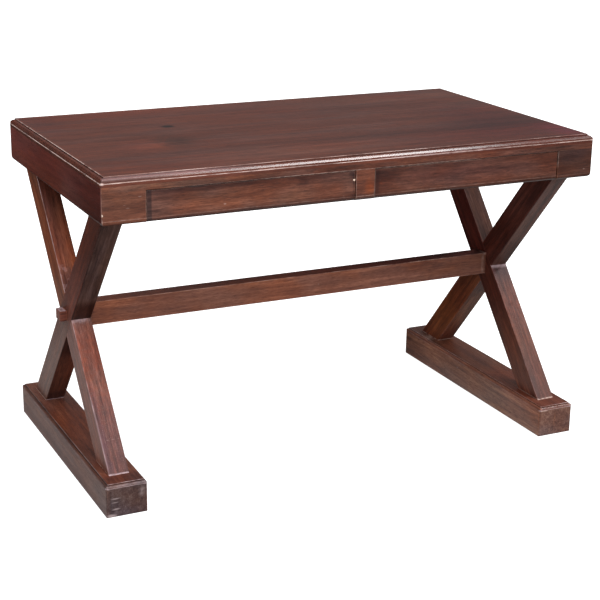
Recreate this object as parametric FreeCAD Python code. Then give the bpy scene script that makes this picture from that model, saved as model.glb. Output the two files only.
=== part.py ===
import FreeCAD, Part
import os
import math
from FreeCAD import Vector as V

# Sawbuck writing table with two frieze drawers.
# Frame: +X along the table's length, -Y is the drawer side (front), +Z up.
# Origin: on the floor, under the middle of the table. All sizes in millimetres.

os.makedirs("parts", exist_ok=True)

# ---------------------------------------------------------------- driving dimensions
TOP_L = 1212.0            # length of the moulded top and of the frieze box
TOP_D = 702.0             # depth of the top and of the frieze box
TOP_H = 760.0             # height of the top's field
TOP_T = 20.0              # thickness of the top boards
N_BOARDS = 5              # boards glued edge to edge
ARRIS_DROP = 13.0         # outer arris of the edge moulding, below the field
MOULD_IN = 10.5           # width of the edge moulding
RISER = 3.1               # small upright step next to the field
FRIEZE_Z0 = 658.0         # underside of the frieze
FRIEZE_Z1 = TOP_H - TOP_T
CASE_T = 22.0             # thickness of the frieze boards
CORNER_R = 5.0            # eased upright corners of the frieze
BOTTOM_R = 9.0            # round-over along the frieze's lower edge
EASE = 1.3                # eased arrises round the drawer openings
RAIL_T = 13.0             # flat-laid rail over the drawers
RAIL_D = 60.0
OPEN_X = 508.5            # outer end of each drawer opening
STILE_W = 46.4            # upright between the two drawers

FOOT_X0, FOOT_X1 = 514.2, 609.2
FOOT_L = 676.8
FOOT_H = 77.0
FOOT_DROP = 8.8
FOOT_IN = 6.0
FOOT_RISER = 2.6
FOOT_R = 5.0
FOOT_EASE = 2.5           # eased lower edge of the feet

BEAM_X0, BEAM_X1 = 539.2, 586.2   # the crossed beams, across the table's length
BEAM_T = 68.0                     # the beams, measured across their slope
BEAM_Y_TOP = 254.8                # where a beam's centre line meets the frieze
BEAM_Y_FOOT = 245.8               # where it meets the foot
BEAM_R = 2.0                      # eased long arrises of beams and stretcher

STR_Y = 20.0                      # half the stretcher's thickness
STR_Z0, STR_Z1 = 334.4, 390.8
TEN_Y0, TEN_Y1 = -12.0, 20.0      # bare-faced through tenon of the stretcher
TEN_Z0, TEN_Z1 = 350.0, 375.0
TEN_END = 603.5

STUB_L = 56.0                     # stub tenons at both ends of each beam
STUB_W = 16.0
STUB_H = 28.0

GAP = 1.0                         # gap round each drawer front
FRONT_T = 20.0
RECESS = 2.0                      # the drawer fronts stand this far behind the frieze
SIDE_T = 12.0
DRW_Y1 = 251.0                    # back end of the closed drawer
SIDE_Z0, SIDE_Z1 = 676.0, 724.0
PANEL_Z0, PANEL_Z1 = 681.0, 687.0
BACK_T = 12.0
LEDGE_Z0, LEDGE_Z1 = 664.0, 675.7
GUIDE_Z1 = 700.0
TAIL_D = 12.0                     # depth of the half-blind dovetails

HX, HY = TOP_L / 2, TOP_D / 2


# ---------------------------------------------------------------- helpers
def box(x0, x1, y0, y1, z0, z1):
    return Part.makeBox(x1 - x0, y1 - y0, z1 - z0, V(x0, y0, z0))


def prism_z(pts, z0, z1):
    w = Part.makePolygon([V(x, y, z0) for x, y in pts] + [V(pts[0][0], pts[0][1], z0)])
    return Part.Face(w).extrude(V(0, 0, z1 - z0))


def prism_x(pts, x0, x1):
    w = Part.makePolygon([V(x0, y, z) for y, z in pts] + [V(x0, pts[0][0], pts[0][1])])
    return Part.Face(w).extrude(V(x1 - x0, 0, 0))


def mirror_x(s):
    return s.mirror(V(0, 0, 0), V(1, 0, 0))


def save(name, shape):
    solids = shape.Solids
    s = solids[0] if len(solids) == 1 else Part.makeCompound(solids)
    for k in solids:
        if not k.isValid() or k.Volume <= 0:
            print("BAD SOLID in", name)
    s.exportStep("parts/%s.step" % name)
    bb = s.BoundBox
    print("%-24s %2d  %8.1f cm3  x %.1f..%.1f y %.1f..%.1f z %.1f..%.1f" % (
        name, len(solids), s.Volume / 1000, bb.XMin, bb.XMax, bb.YMin, bb.YMax, bb.ZMin, bb.ZMax))


def rounded_wire(pts, place):
    """Closed wire through (u, v, r) points: a corner with r > 0 is rounded; an ("arc", u, v) entry bends the run it lies on."""
    corners = [p for p in pts if p[0] != "arc"]
    mids = {}
    for i, p in enumerate(pts):
        if p[0] == "arc":
            mids[corners.index(pts[i - 1])] = (p[1], p[2])
    n = len(corners)
    cut = []
    for i in range(n):
        u, v, r = corners[i]
        if r <= 0:
            cut.append(((u, v), (u, v), None))
            continue
        pu, pv, _ = corners[i - 1]
        nu, nv, _ = corners[(i + 1) % n]
        a = (pu - u, pv - v)
        b = (nu - u, nv - v)
        la, lb = math.hypot(*a), math.hypot(*b)
        a, b = (a[0] / la, a[1] / la), (b[0] / lb, b[1] / lb)
        half = math.acos(max(-1, min(1, a[0] * b[0] + a[1] * b[1]))) / 2
        t = min(r / math.tan(half), 0.45 * la, 0.45 * lb)
        rr = t * math.tan(half)
        bis = (a[0] + b[0], a[1] + b[1])
        lm = math.hypot(*bis)
        d = rr / math.sin(half) - rr
        m = (u + bis[0] / lm * d, v + bis[1] / lm * d)
        cut.append(((u + a[0] * t, v + a[1] * t), (u + b[0] * t, v + b[1] * t), m))
    edges = []
    for i in range(n):
        p0, p1, m = cut[i]
        if m is not None:
            edges.append(Part.Arc(place(*p0), place(*m), place(*p1)).toShape())
        q = cut[(i + 1) % n][0]
        if i in mids:
            edges.append(Part.Arc(place(*p1), place(*mids[i]), place(*q)).toShape())
        else:
            edges.append(Part.LineSegment(place(*p1), place(*q)).toShape())
    return Part.Wire(edges)


def mould_profile(half, z0, z1, inset, drop, riser, toe, foot_r, flat=False):
    """Corners (u, z, r) of the section: upright sides, then an ovolo between two small steps.
    flat: the ovolo is worn to a broad flat with soft shoulders."""
    zr = z1 - riser                        # foot of the upper step
    za = z1 - drop                         # outer arris
    zt = za + 0.6                          # foot of the ovolo
    e = inset - 0.5                        # top end of the ovolo
    c = math.cos(math.pi / 4)
    if flat:
        run = [(0, za, 0.7), (toe, zt, 0), (toe + 0.3, za + 0.30 * drop, 1.2), (0.505 * inset, za + 0.65 * drop, 3.0),
               (e, zr, 0), (inset, zr, 0), (inset + 0.2, z1, 0.9)]
        return ([(-half, z0, foot_r)] + [(-half + i, z, r) for i, z, r in run]
                + [(half - i, z, r) for i, z, r in reversed(run)] + [(half, z0, foot_r)])
    left = [(-half, z0, foot_r), (-half, za, 0.7), (-half + toe, zt, 0),
            ("arc", -half + e - (e - toe) * c, zt + (zr - zt) * c),
            (-half + e, zr, 0), (-half + inset, zr, 0), (-half + inset + 0.2, z1, 0.9)]
    right = [(half - inset - 0.2, z1, 0.9), (half - inset, zr, 0), (half - e, zr, 0),
             ("arc", half - e + (e - toe) * c, zt + (zr - zt) * c),
             (half - toe, zt, 0), (half, za, 0.7), (half, z0, foot_r)]
    return left + right


def moulded(half_x, half_y, cx, z0, z1, inset, drop, riser, toe, corner_r, foot_r, flat=False):
    """Board with the moulding mitred round its four edges."""
    px = mould_profile(half_x, z0, z1, inset, drop, riser, toe, foot_r, flat)
    py = mould_profile(half_y, z0, z1, inset, drop, riser, toe, foot_r, flat)
    w = rounded_wire(px, lambda u, z: V(u, -half_y - 5, z))
    along_y = Part.Face(w).extrude(V(0, 2 * half_y + 10, 0))
    w = rounded_wire(py, lambda u, z: V(-half_x - 5, u, z))
    along_x = Part.Face(w).extrude(V(2 * half_x + 10, 0, 0))
    s = along_y.common(along_x)
    post = box(-half_x, half_x, -half_y, half_y, z0 - 1, z1 + 1)
    ups = [e for e in post.Edges if abs(e.Vertexes[0].Z - e.Vertexes[1].Z) > 1]
    s = s.common(post.makeFillet(corner_r, ups))
    s.translate(V(cx, 0, 0))
    return s


def ease_z(x, y, dx, dy, r, z0, z1):
    """What rounding the upright arris at (x, y) takes away; the wood lies towards (dx, dy)."""
    b = box(min(x, x + dx * r), max(x, x + dx * r), min(y, y + dy * r), max(y, y + dy * r), z0, z1)
    return b.cut(Part.makeCylinder(r, z1 - z0 + 2, V(x + dx * r, y + dy * r, z0 - 1), V(0, 0, 1)))


def ease_x(y, z, dy, dz, r, x0, x1):
    b = box(x0, x1, min(y, y + dy * r), max(y, y + dy * r), min(z, z + dz * r), max(z, z + dz * r))
    return b.cut(Part.makeCylinder(r, x1 - x0 + 2, V(x0 - 1, y + dy * r, z + dz * r), V(1, 0, 0)))


def ease_y(x, z, dx, dz, r, y0, y1):
    b = box(min(x, x + dx * r), max(x, x + dx * r), y0, y1, min(z, z + dz * r), max(z, z + dz * r))
    return b.cut(Part.makeCylinder(r, y1 - y0 + 2, V(x + dx * r, y0 - 1, z + dz * r), V(0, 1, 0)))


def screw(x, y, z, d, length, rs, rh, hh):
    """Countersunk screw: head's flat face at (x, y, z), shank along d. Returns screw and its hole."""
    p = V(x, y, z)
    body = Part.makeCone(rh, rs, hh, p, d).fuse(Part.makeCylinder(rs, length, p, d)).removeSplitter()
    n = V(0, 1, 0) if abs(d.y) < 0.5 else V(1, 0, 0)
    m = d.cross(n)
    slot = Part.makeBox(2 * rh + 1, 0.9, 1.0)
    slot.translate(V(-rh - 0.5, -0.45, 0))
    rot = FreeCAD.Matrix(n.x, m.x, d.x, x, n.y, m.y, d.y, y, n.z, m.z, d.z, z, 0, 0, 0, 1)
    slot = slot.transformGeometry(rot)
    body = body.cut(slot)
    hole = Part.makeCone(rh + 0.1, rs + 0.1, hh, p, d).fuse(Part.makeCylinder(rs + 0.1, length + 0.5, p, d))
    return body, hole


# ---------------------------------------------------------------- outer envelopes
post = box(-HX, HX, -HY, HY, FRIEZE_Z0, FRIEZE_Z1)
ups = [e for e in post.Edges if abs(e.Vertexes[0].Z - e.Vertexes[1].Z) > 1]
case_env = post.makeFillet(CORNER_R, ups)
low = [e for e in case_env.Edges if all(abs(v.Z - FRIEZE_Z0) < 0.01 for v in e.Vertexes)]
case_env = case_env.makeFillet(BOTTOM_R, low)

top_env = moulded(HX, HY, 0, FRIEZE_Z1, TOP_H, MOULD_IN, ARRIS_DROP, RISER, 1.1, CORNER_R, 0, True)

# ---------------------------------------------------------------- screws that hold the top and the runners
long_screws, long_holes = [], []
short_screws, short_holes = [], []
bores = []
bx = (BEAM_X0 + HX - CASE_T) / 2
for sx in (-1, 1):
    for y in (-180.0, -60.0, 60.0, 180.0):
        s, h = screw(sx * bx, y, 702.0, V(0, 0, 1), 50.0, 2.2, 4.4, 2.8)
        long_screws.append(s)
        long_holes.append(h)
        bores.append(Part.makeCylinder(6.5, 702.0 - FRIEZE_Z0 + 1, V(sx * bx, y, FRIEZE_Z0 - 1), V(0, 0, 1)))
    for y in (-210.0, 0.0, 210.0):
        s, h = screw(sx * OPEN_X, y, 690.0, V(sx, 0, 0), 50.0, 2.2, 4.4, 2.8)
        long_screws.append(s)
        long_holes.append(h)
for x in (-430.0, -150.0, 150.0, 430.0):
    s, h = screw(x, -313.0, FRIEZE_Z1 - RAIL_T, V(0, 0, 1), 25.0, 1.8, 3.6, 2.2)
    short_screws.append(s)
    short_holes.append(h)
for x in (-524.0, 0.0, 524.0):
    for y in (-250.0, 20.0, 290.0):
        s, h = screw(x, y, FRIEZE_Z1 - RAIL_T, V(0, 0, 1), 25.0, 1.8, 3.6, 2.2)
        short_screws.append(s)
        short_holes.append(h)

# ---------------------------------------------------------------- top: five boards, glued edge to edge
bw = TOP_D / N_BOARDS
for i in range(N_BOARDS):
    y0 = -HY + i * bw
    b = top_env.common(box(-HX - 1, HX + 1, y0, y0 + bw, FRIEZE_Z1 - 1, TOP_H + 1))
    for h in long_holes + short_holes:
        if h.BoundBox.YMax > y0 and h.BoundBox.YMin < y0 + bw and h.BoundBox.ZMax > FRIEZE_Z1:
            b = b.cut(h)
    save("top_board_%d" % (i + 1), b)

# ---------------------------------------------------------------- frieze box
rail_pts = [(-HX, -HY), (HX, -HY), (HX - CASE_T, -HY + CASE_T), (HX - CASE_T, -HY + RAIL_D),
            (-HX + CASE_T, -HY + RAIL_D), (-HX + CASE_T, -HY + CASE_T)]
rail = prism_z(rail_pts, FRIEZE_Z1 - RAIL_T, FRIEZE_Z1).common(case_env)
stile = box(-STILE_W / 2, STILE_W / 2, -HY, -HY + CASE_T, FRIEZE_Z0, FRIEZE_Z1 - RAIL_T).common(case_env)
stile_tenon = box(-12, 12, -HY + 6, -HY + 16, FRIEZE_Z1 - RAIL_T - 1, FRIEZE_Z1 - RAIL_T + 8)
stile = stile.fuse(stile_tenon).removeSplitter()
rail = rail.cut(stile_tenon)
blk_pts = [(-HX, -HY), (-OPEN_X, -HY), (-OPEN_X, -HY + CASE_T), (-HX + CASE_T, -HY + CASE_T)]
blk = prism_z(blk_pts, FRIEZE_Z0, FRIEZE_Z1 - RAIL_T).common(case_env)
blk_tenon = box(-570, -530, -HY + 6, -HY + 16, FRIEZE_Z1 - RAIL_T - 1, FRIEZE_Z1 - RAIL_T + 8)
blk = blk.fuse(blk_tenon).removeSplitter()
rail = rail.cut(blk_tenon).cut(mirror_x(blk_tenon))
for h in short_holes:
    if h.BoundBox.YMax < -HY + RAIL_D:
        rail = rail.cut(h)
for a, b in ((-OPEN_X, -STILE_W / 2), (STILE_W / 2, OPEN_X)):
    rail = rail.cut(ease_x(-HY, FRIEZE_Z1 - RAIL_T, 1, 1, EASE, a, b))
blk = blk.cut(ease_z(-OPEN_X, -HY, -1, 1, EASE, FRIEZE_Z0 - 1, FRIEZE_Z1 - RAIL_T))
for sgn in (-1, 1):
    stile = stile.cut(ease_z(sgn * STILE_W / 2, -HY, -sgn, 1, EASE, FRIEZE_Z0 - 1, FRIEZE_Z1 - RAIL_T))
save("front_top_rail", rail)
save("front_block_left", blk)
save("front_block_right", mirror_x(blk))

# the runner between the drawers is tenoned into the upright at the front
crun = box(-43, 43, -HY + CASE_T, HY - CASE_T, LEDGE_Z0, LEDGE_Z1).fuse(
    box(-STILE_W / 2, STILE_W / 2, -HY + CASE_T, HY - CASE_T, LEDGE_Z0, GUIDE_Z1))
crun_tenon = box(-10, 10, -HY + CASE_T - 13, -HY + CASE_T + 1, 678, 696)
crun_tail = box(-10, 10, HY - CASE_T - 1, HY - CASE_T + 12, 678, 696)
crun = crun.fuse(crun_tenon).fuse(crun_tail).removeSplitter()
stile = stile.cut(crun_tenon)
save("front_centre_stile", stile)

side_pts = [(-HX, -HY), (-HX + CASE_T, -HY + CASE_T), (-HX + CASE_T, HY - CASE_T), (-HX, HY)]
side = prism_z(side_pts, FRIEZE_Z0, FRIEZE_Z1).common(case_env)
save("side_apron_left", side)
save("side_apron_right", mirror_x(side))
back_pts = [(-HX, HY), (-HX + CASE_T, HY - CASE_T), (HX - CASE_T, HY - CASE_T), (HX, HY)]
back = prism_z(back_pts, FRIEZE_Z0, FRIEZE_Z1).common(case_env).cut(crun_tail)
save("back_apron", back)

# ---------------------------------------------------------------- bearers under the top, which take the crossed beams
bear = box(-HX + CASE_T, -BEAM_X0, -HY + CASE_T, HY - CASE_T, FRIEZE_Z0, FRIEZE_Z1)
bear = bear.cut(box(-HX, -500, -HY, -HY + RAIL_D, FRIEZE_Z1 - RAIL_T, FRIEZE_Z1 + 1))
mid = (BEAM_X0 + BEAM_X1) / 2
stubs_top = [box(-mid - STUB_W / 2, -mid + STUB_W / 2, s * BEAM_Y_TOP - STUB_L / 2, s * BEAM_Y_TOP + STUB_L / 2,
                 FRIEZE_Z0 - 1, FRIEZE_Z0 + STUB_H) for s in (-1, 1)]
stubs_foot = [box(-mid - STUB_W / 2, -mid + STUB_W / 2, s * BEAM_Y_FOOT - STUB_L / 2, s * BEAM_Y_FOOT + STUB_L / 2,
                  FOOT_H - STUB_H, FOOT_H + 1) for s in (-1, 1)]
for s in stubs_top:
    bear = bear.cut(s)
bear_r = mirror_x(bear)
for h in long_holes + bores:
    if h.BoundBox.XMax < -400:
        bear = bear.cut(h)
    if h.BoundBox.XMin > 400:
        bear_r = bear_r.cut(h)
save("bearer_left", bear)
save("bearer_right", bear_r)

# ---------------------------------------------------------------- runners, kickers and stops for the drawers
run = box(-BEAM_X0, -OPEN_X, -HY + CASE_T, HY - CASE_T, LEDGE_Z0, GUIDE_Z1).fuse(
    box(-BEAM_X0, -488, -HY + CASE_T, HY - CASE_T, LEDGE_Z0, LEDGE_Z1)).removeSplitter()
run_r = mirror_x(run)
for h in long_holes:
    if h.BoundBox.XMax < -400:
        run = run.cut(h)
    if h.BoundBox.XMin > 400:
        run_r = run_r.cut(h)
save("runner_left", run)
save("runner_right", run_r)
save("runner_centre", crun)

kick_z0 = FRIEZE_Z1 - RAIL_T
kick = box(-BEAM_X0, -488, -HY + RAIL_D, HY - CASE_T, kick_z0, FRIEZE_Z1)
kick_r = mirror_x(kick)
kick_c = box(-43, 43, -HY + RAIL_D, HY - CASE_T, kick_z0, FRIEZE_Z1)
for h in short_holes:
    if h.BoundBox.YMin > -HY + RAIL_D:
        if h.BoundBox.XMax < -400:
            kick = kick.cut(h)
        elif h.BoundBox.XMin > 400:
            kick_r = kick_r.cut(h)
        else:
            kick_c = kick_c.cut(h)
save("kicker_left", kick)
save("kicker_right", kick_r)
save("kicker_centre", kick_c)

stop = box(-507, -493, DRW_Y1, DRW_Y1 + 16, LEDGE_Z1, LEDGE_Z1 + 20)
stop_c = box(-STILE_W / 2 - 14, -STILE_W / 2, DRW_Y1, DRW_Y1 + 16, LEDGE_Z1, LEDGE_Z1 + 20)
save("drawer_stops", Part.makeCompound([stop, stop_c, mirror_x(stop), mirror_x(stop_c)]))

save("long_screws", Part.makeCompound(long_screws))
save("short_screws", Part.makeCompound(short_screws))

# ---------------------------------------------------------------- trestles
foot = moulded((FOOT_X1 - FOOT_X0) / 2, FOOT_L / 2, -(FOOT_X0 + FOOT_X1) / 2, 0.0, FOOT_H,
               FOOT_IN, FOOT_DROP, FOOT_RISER, 0.7, FOOT_R, FOOT_EASE)
for s in stubs_foot:
    foot = foot.cut(s)
save("foot_left", foot)
save("foot_right", mirror_x(foot))


def beam_section(sgn):
    """Beam whose centre line runs from y = -sgn*BEAM_Y_TOP under the frieze to y = +sgn*BEAM_Y_FOOT on the foot."""
    dy, dz = -BEAM_Y_TOP - BEAM_Y_FOOT, FRIEZE_Z0 - FOOT_H
    half = BEAM_T / 2 * math.hypot(dy, dz) / dz       # half the beam's level cut, along Y
    return [(sgn * (-BEAM_Y_TOP - half), FRIEZE_Z0), (sgn * (-BEAM_Y_TOP + half), FRIEZE_Z0),
            (sgn * (BEAM_Y_FOOT + half), FOOT_H), (sgn * (BEAM_Y_FOOT - half), FOOT_H)]


pa, pb = beam_section(1), beam_section(-1)
full_a = prism_x(pa, -BEAM_X1, -BEAM_X0)
full_b = prism_x(pb, -BEAM_X1, -BEAM_X0)


def eased(full):
    longs = [e for e in full.Edges if abs(e.Vertexes[0].Z - e.Vertexes[1].Z) > 500]
    return full.makeFillet(BEAM_R, longs)


# the arrises run out at the crossing, where both beams are planed flush
cross = full_a.common(full_b)
beam_a = eased(full_a).fuse(cross).cut(prism_x(pb, -mid, -BEAM_X0 + 1))       # keeps its outer half at the crossing
beam_b = eased(full_b).fuse(cross).cut(prism_x(pa, -BEAM_X1 - 1, -mid))       # keeps its inner half
mortise = box(-BEAM_X1 - 1, -BEAM_X0 + 1, TEN_Y0, TEN_Y1, TEN_Z0, TEN_Z1)
beam_a = beam_a.fuse(stubs_top[0]).fuse(stubs_foot[1]).removeSplitter().cut(mortise)
beam_b = beam_b.fuse(stubs_top[1]).fuse(stubs_foot[0]).removeSplitter().cut(mortise)
save("beam_left_outer", beam_a)
save("beam_left_inner", beam_b)
save("beam_right_outer", mirror_x(beam_a))
save("beam_right_inner", mirror_x(beam_b))

stretcher = box(-BEAM_X0, BEAM_X0, -STR_Y, STR_Y, STR_Z0, STR_Z1)
stretcher = stretcher.makeFillet(BEAM_R, [e for e in stretcher.Edges if abs(e.Vertexes[0].X - e.Vertexes[1].X) > 500])
ten = box(-TEN_END, TEN_END, TEN_Y0, TEN_Y1, TEN_Z0, TEN_Z1)
ends = [e for e in ten.Edges if all(abs(abs(v.X) - TEN_END) < 0.01 for v in e.Vertexes)]
ten = ten.makeChamfer(1.8, ends)
stretcher = stretcher.fuse(ten).removeSplitter()
save("stretcher", stretcher)


# ---------------------------------------------------------------- drawers (built on the left, mirrored to the right)
def drawer():
    x0, x1 = -OPEN_X + GAP, -STILE_W / 2 - GAP
    fy0 = -HY + RECESS
    fy1 = fy0 + FRONT_T
    front = box(x0, x1, fy0, fy1, FRIEZE_Z0, FRIEZE_Z1 - RAIL_T - GAP)

    def on_face(e):
        return all(abs(v.Y - fy0) < 0.01 for v in e.Vertexes)
    ups_ = [e for e in front.Edges if on_face(e) and abs(e.Vertexes[0].Z - e.Vertexes[1].Z) > 1]
    front = front.makeFillet(2.0, ups_)
    shape = box(x0 - 1, x1 + 1, fy0, fy1, FRIEZE_Z0, FRIEZE_Z1 - RAIL_T - GAP)
    e_low = [e for e in shape.Edges if on_face(e) and all(abs(v.Z - FRIEZE_Z0) < 0.01 for v in e.Vertexes)]
    shape = shape.makeFillet(BOTTOM_R, e_low)
    e_top = [e for e in shape.Edges if on_face(e) and all(abs(v.Z - (FRIEZE_Z1 - RAIL_T - GAP)) < 0.01 for v in e.Vertexes)]
    shape = shape.makeFillet(1.5, e_top)
    front = front.common(shape)

    tails = []
    for zc in (688.0, 712.0):
        pts = [(fy1 + 1, zc - 6), (fy1, zc - 6), (fy1 - TAIL_D, zc - 8), (fy1 - TAIL_D, zc + 8), (fy1, zc + 6), (fy1 + 1, zc + 6)]
        tails.append((pts))
    sides = []
    for a, b in ((x0, x0 + SIDE_T), (x1 - SIDE_T, x1)):
        s = box(a, b, fy1, DRW_Y1, SIDE_Z0, SIDE_Z1)
        for pts in tails:
            t = prism_x(pts, a, b)
            s = s.fuse(t)
            front = front.cut(t)
        s = s.removeSplitter()
        for x, d in ((a, 1), (b, -1)):
            s = s.cut(ease_y(x, SIDE_Z1, d, -1, 1.5, fy1, DRW_Y1))
        sides.append(s)
    panel = box(x0 + SIDE_T / 2, x1 - SIDE_T / 2, fy1 - 6, DRW_Y1, PANEL_Z0, PANEL_Z1)
    back_ = box(x0 + SIDE_T - 4, x1 - SIDE_T + 4, DRW_Y1 - BACK_T, DRW_Y1, PANEL_Z1, SIDE_Z1)
    for y, d in ((DRW_Y1 - BACK_T, 1), (DRW_Y1, -1)):
        back_ = back_.cut(ease_x(y, SIDE_Z1, d, -1, 1.5, x0 + SIDE_T - 4, x1 - SIDE_T + 4))
    front = front.cut(panel)
    sides = [s.cut(panel).cut(back_) for s in sides]
    screws = []
    for x in (x0 + 90, x1 - 90):
        sc, h = screw(x, DRW_Y1 - BACK_T / 2, PANEL_Z0, V(0, 0, 1), 20.0, 1.4, 2.8, 1.8)
        screws.append(sc)
        panel = panel.cut(h)
        back_ = back_.cut(h)
    return front, sides[0], sides[1], back_, panel, Part.makeCompound(screws)


names = ("front", "side_outer", "side_inner", "back", "bottom", "screws")
parts = drawer()
for n, s in zip(names, parts):
    save("drawer_left_" + n, s)
for n, s in zip(names, parts):
    save("drawer_right_" + n, mirror_x(s))
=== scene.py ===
import bpy
import math
from mathutils import Vector, Matrix, Euler


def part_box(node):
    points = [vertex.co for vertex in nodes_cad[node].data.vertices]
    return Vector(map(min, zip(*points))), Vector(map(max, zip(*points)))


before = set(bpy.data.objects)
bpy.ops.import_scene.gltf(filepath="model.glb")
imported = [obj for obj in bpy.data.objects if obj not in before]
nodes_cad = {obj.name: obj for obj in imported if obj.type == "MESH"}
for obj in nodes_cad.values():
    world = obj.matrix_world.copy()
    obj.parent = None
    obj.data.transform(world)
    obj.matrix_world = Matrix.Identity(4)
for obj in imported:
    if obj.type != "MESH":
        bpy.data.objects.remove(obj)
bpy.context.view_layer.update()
scene = bpy.context.scene

# ------------------------------------------------------------------ camera: the photograph's own angle
ROLL, ELEV, AZIM = 0.013436952, 0.310453401, -0.448435529
CAM_AT = Vector((-1.492791, -3.129619, 1.435901))


def make_camera():
    back = Vector((math.sin(AZIM) * math.cos(ELEV), -math.cos(AZIM) * math.cos(ELEV), math.sin(ELEV)))
    right = (-back).cross(Vector((0, 0, 1))).normalized()
    up = right.cross(-back)
    r2 = math.cos(ROLL) * right + math.sin(ROLL) * up
    u2 = -math.sin(ROLL) * right + math.cos(ROLL) * up
    cam = bpy.data.cameras.new("photo_camera")
    cam.sensor_width = 36.0
    cam.lens = 1469.8732 / 600.0 * 36.0
    cam.clip_start, cam.clip_end = 0.05, 200.0
    ob = bpy.data.objects.new("photo_camera", cam)
    m = Matrix((r2, u2, back)).transposed().to_4x4()
    m.translation = CAM_AT
    ob.matrix_world = m
    scene.collection.objects.link(ob)
    scene.camera = ob


make_camera()
scene.view_settings.view_transform = "Standard"
scene.view_settings.look = "None"


# ------------------------------------------------------------------ small node helpers
class Graph:
    """Writes shader nodes: numbers and colours go on the sockets, sockets are linked."""

    def __init__(self, tree):
        self.t = tree

    def new(self, kind, **props):
        n = self.t.nodes.new(kind)
        for k, v in props.items():
            setattr(n, k, v)
        return n

    def put(self, socket, value):
        if value is None:
            return
        if isinstance(value, bpy.types.NodeSocket):
            self.t.links.new(value, socket)
        else:
            socket.default_value = value

    def math(self, op, a, b=None, c=None, clamp=False):
        n = self.new("ShaderNodeMath", operation=op, use_clamp=clamp)
        for s, v in zip(n.inputs, (a, b, c)):
            self.put(s, v)
        return n.outputs[0]

    def add(self, a, b): return self.math("ADD", a, b)
    def sub(self, a, b): return self.math("SUBTRACT", a, b)
    def mul(self, a, b): return self.math("MULTIPLY", a, b)
    def mn(self, a, b): return self.math("MINIMUM", a, b)
    def mx(self, a, b): return self.math("MAXIMUM", a, b)
    def absv(self, a): return self.math("ABSOLUTE", a)

    def vec(self, op, a, b=None, out=0):
        n = self.new("ShaderNodeVectorMath", operation=op)
        self.put(n.inputs[0], a)
        if b is not None:
            self.put(n.inputs[1], b)
        return n.outputs[out]

    def dot(self, a, b):
        return self.vec("DOT_PRODUCT", a, b, out=1)

    def scale(self, a, k):
        n = self.new("ShaderNodeVectorMath", operation="MULTIPLY")
        self.put(n.inputs[0], a)
        n.inputs[1].default_value = k
        return n.outputs[0]

    def noise(self, vector, scale=1.0, detail=2.0, rough=0.5, lac=2.0, dist=0.0, out=0):
        n = self.new("ShaderNodeTexNoise")
        self.put(n.inputs["Vector"], vector)
        n.inputs["Scale"].default_value = scale
        n.inputs["Detail"].default_value = detail
        n.inputs["Roughness"].default_value = rough
        n.inputs["Lacunarity"].default_value = lac
        n.inputs["Distortion"].default_value = dist
        return n.outputs[out]

    def ramp(self, fac, lo, hi, a=0.0, b=1.0, smooth=True):
        n = self.new("ShaderNodeMapRange")
        n.interpolation_type = "SMOOTHSTEP" if smooth else "LINEAR"
        self.put(n.inputs["Value"], fac)
        for key, v in (("From Min", lo), ("From Max", hi), ("To Min", a), ("To Max", b)):
            self.put(n.inputs[key], v)
        return n.outputs[0]

    def mix(self, fac, a, b, mode="MIX"):
        n = self.new("ShaderNodeMix", data_type="RGBA", blend_type=mode)
        n.clamp_factor = True
        self.put(n.inputs[0], fac)
        self.put(n.inputs[6], a)
        self.put(n.inputs[7], b)
        return n.outputs[2]

    def colours(self, fac, stops):
        n = self.new("ShaderNodeValToRGB")
        cr = n.color_ramp
        while len(cr.elements) < len(stops):
            cr.elements.new(0.5)
        for e, (p, c) in zip(cr.elements, stops):
            e.position = p
            e.color = (*c, 1)
        self.put(n.inputs[0], fac)
        return n.outputs[0]

    def xyz(self, v):
        n = self.new("ShaderNodeSeparateXYZ")
        self.put(n.inputs[0], v)
        return n.outputs

    def join(self, x, y, z):
        n = self.new("ShaderNodeCombineXYZ")
        for s, v in zip(n.inputs, (x, y, z)):
            self.put(s, v)
        return n.outputs[0]


def srgb(r, g, b):
    """Linear colour of an 8-bit display colour."""
    def f(v):
        v /= 255.0
        return v / 12.92 if v <= 0.04045 else ((v + 0.055) / 1.055) ** 2.4
    return (f(r), f(g), f(b))


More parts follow.
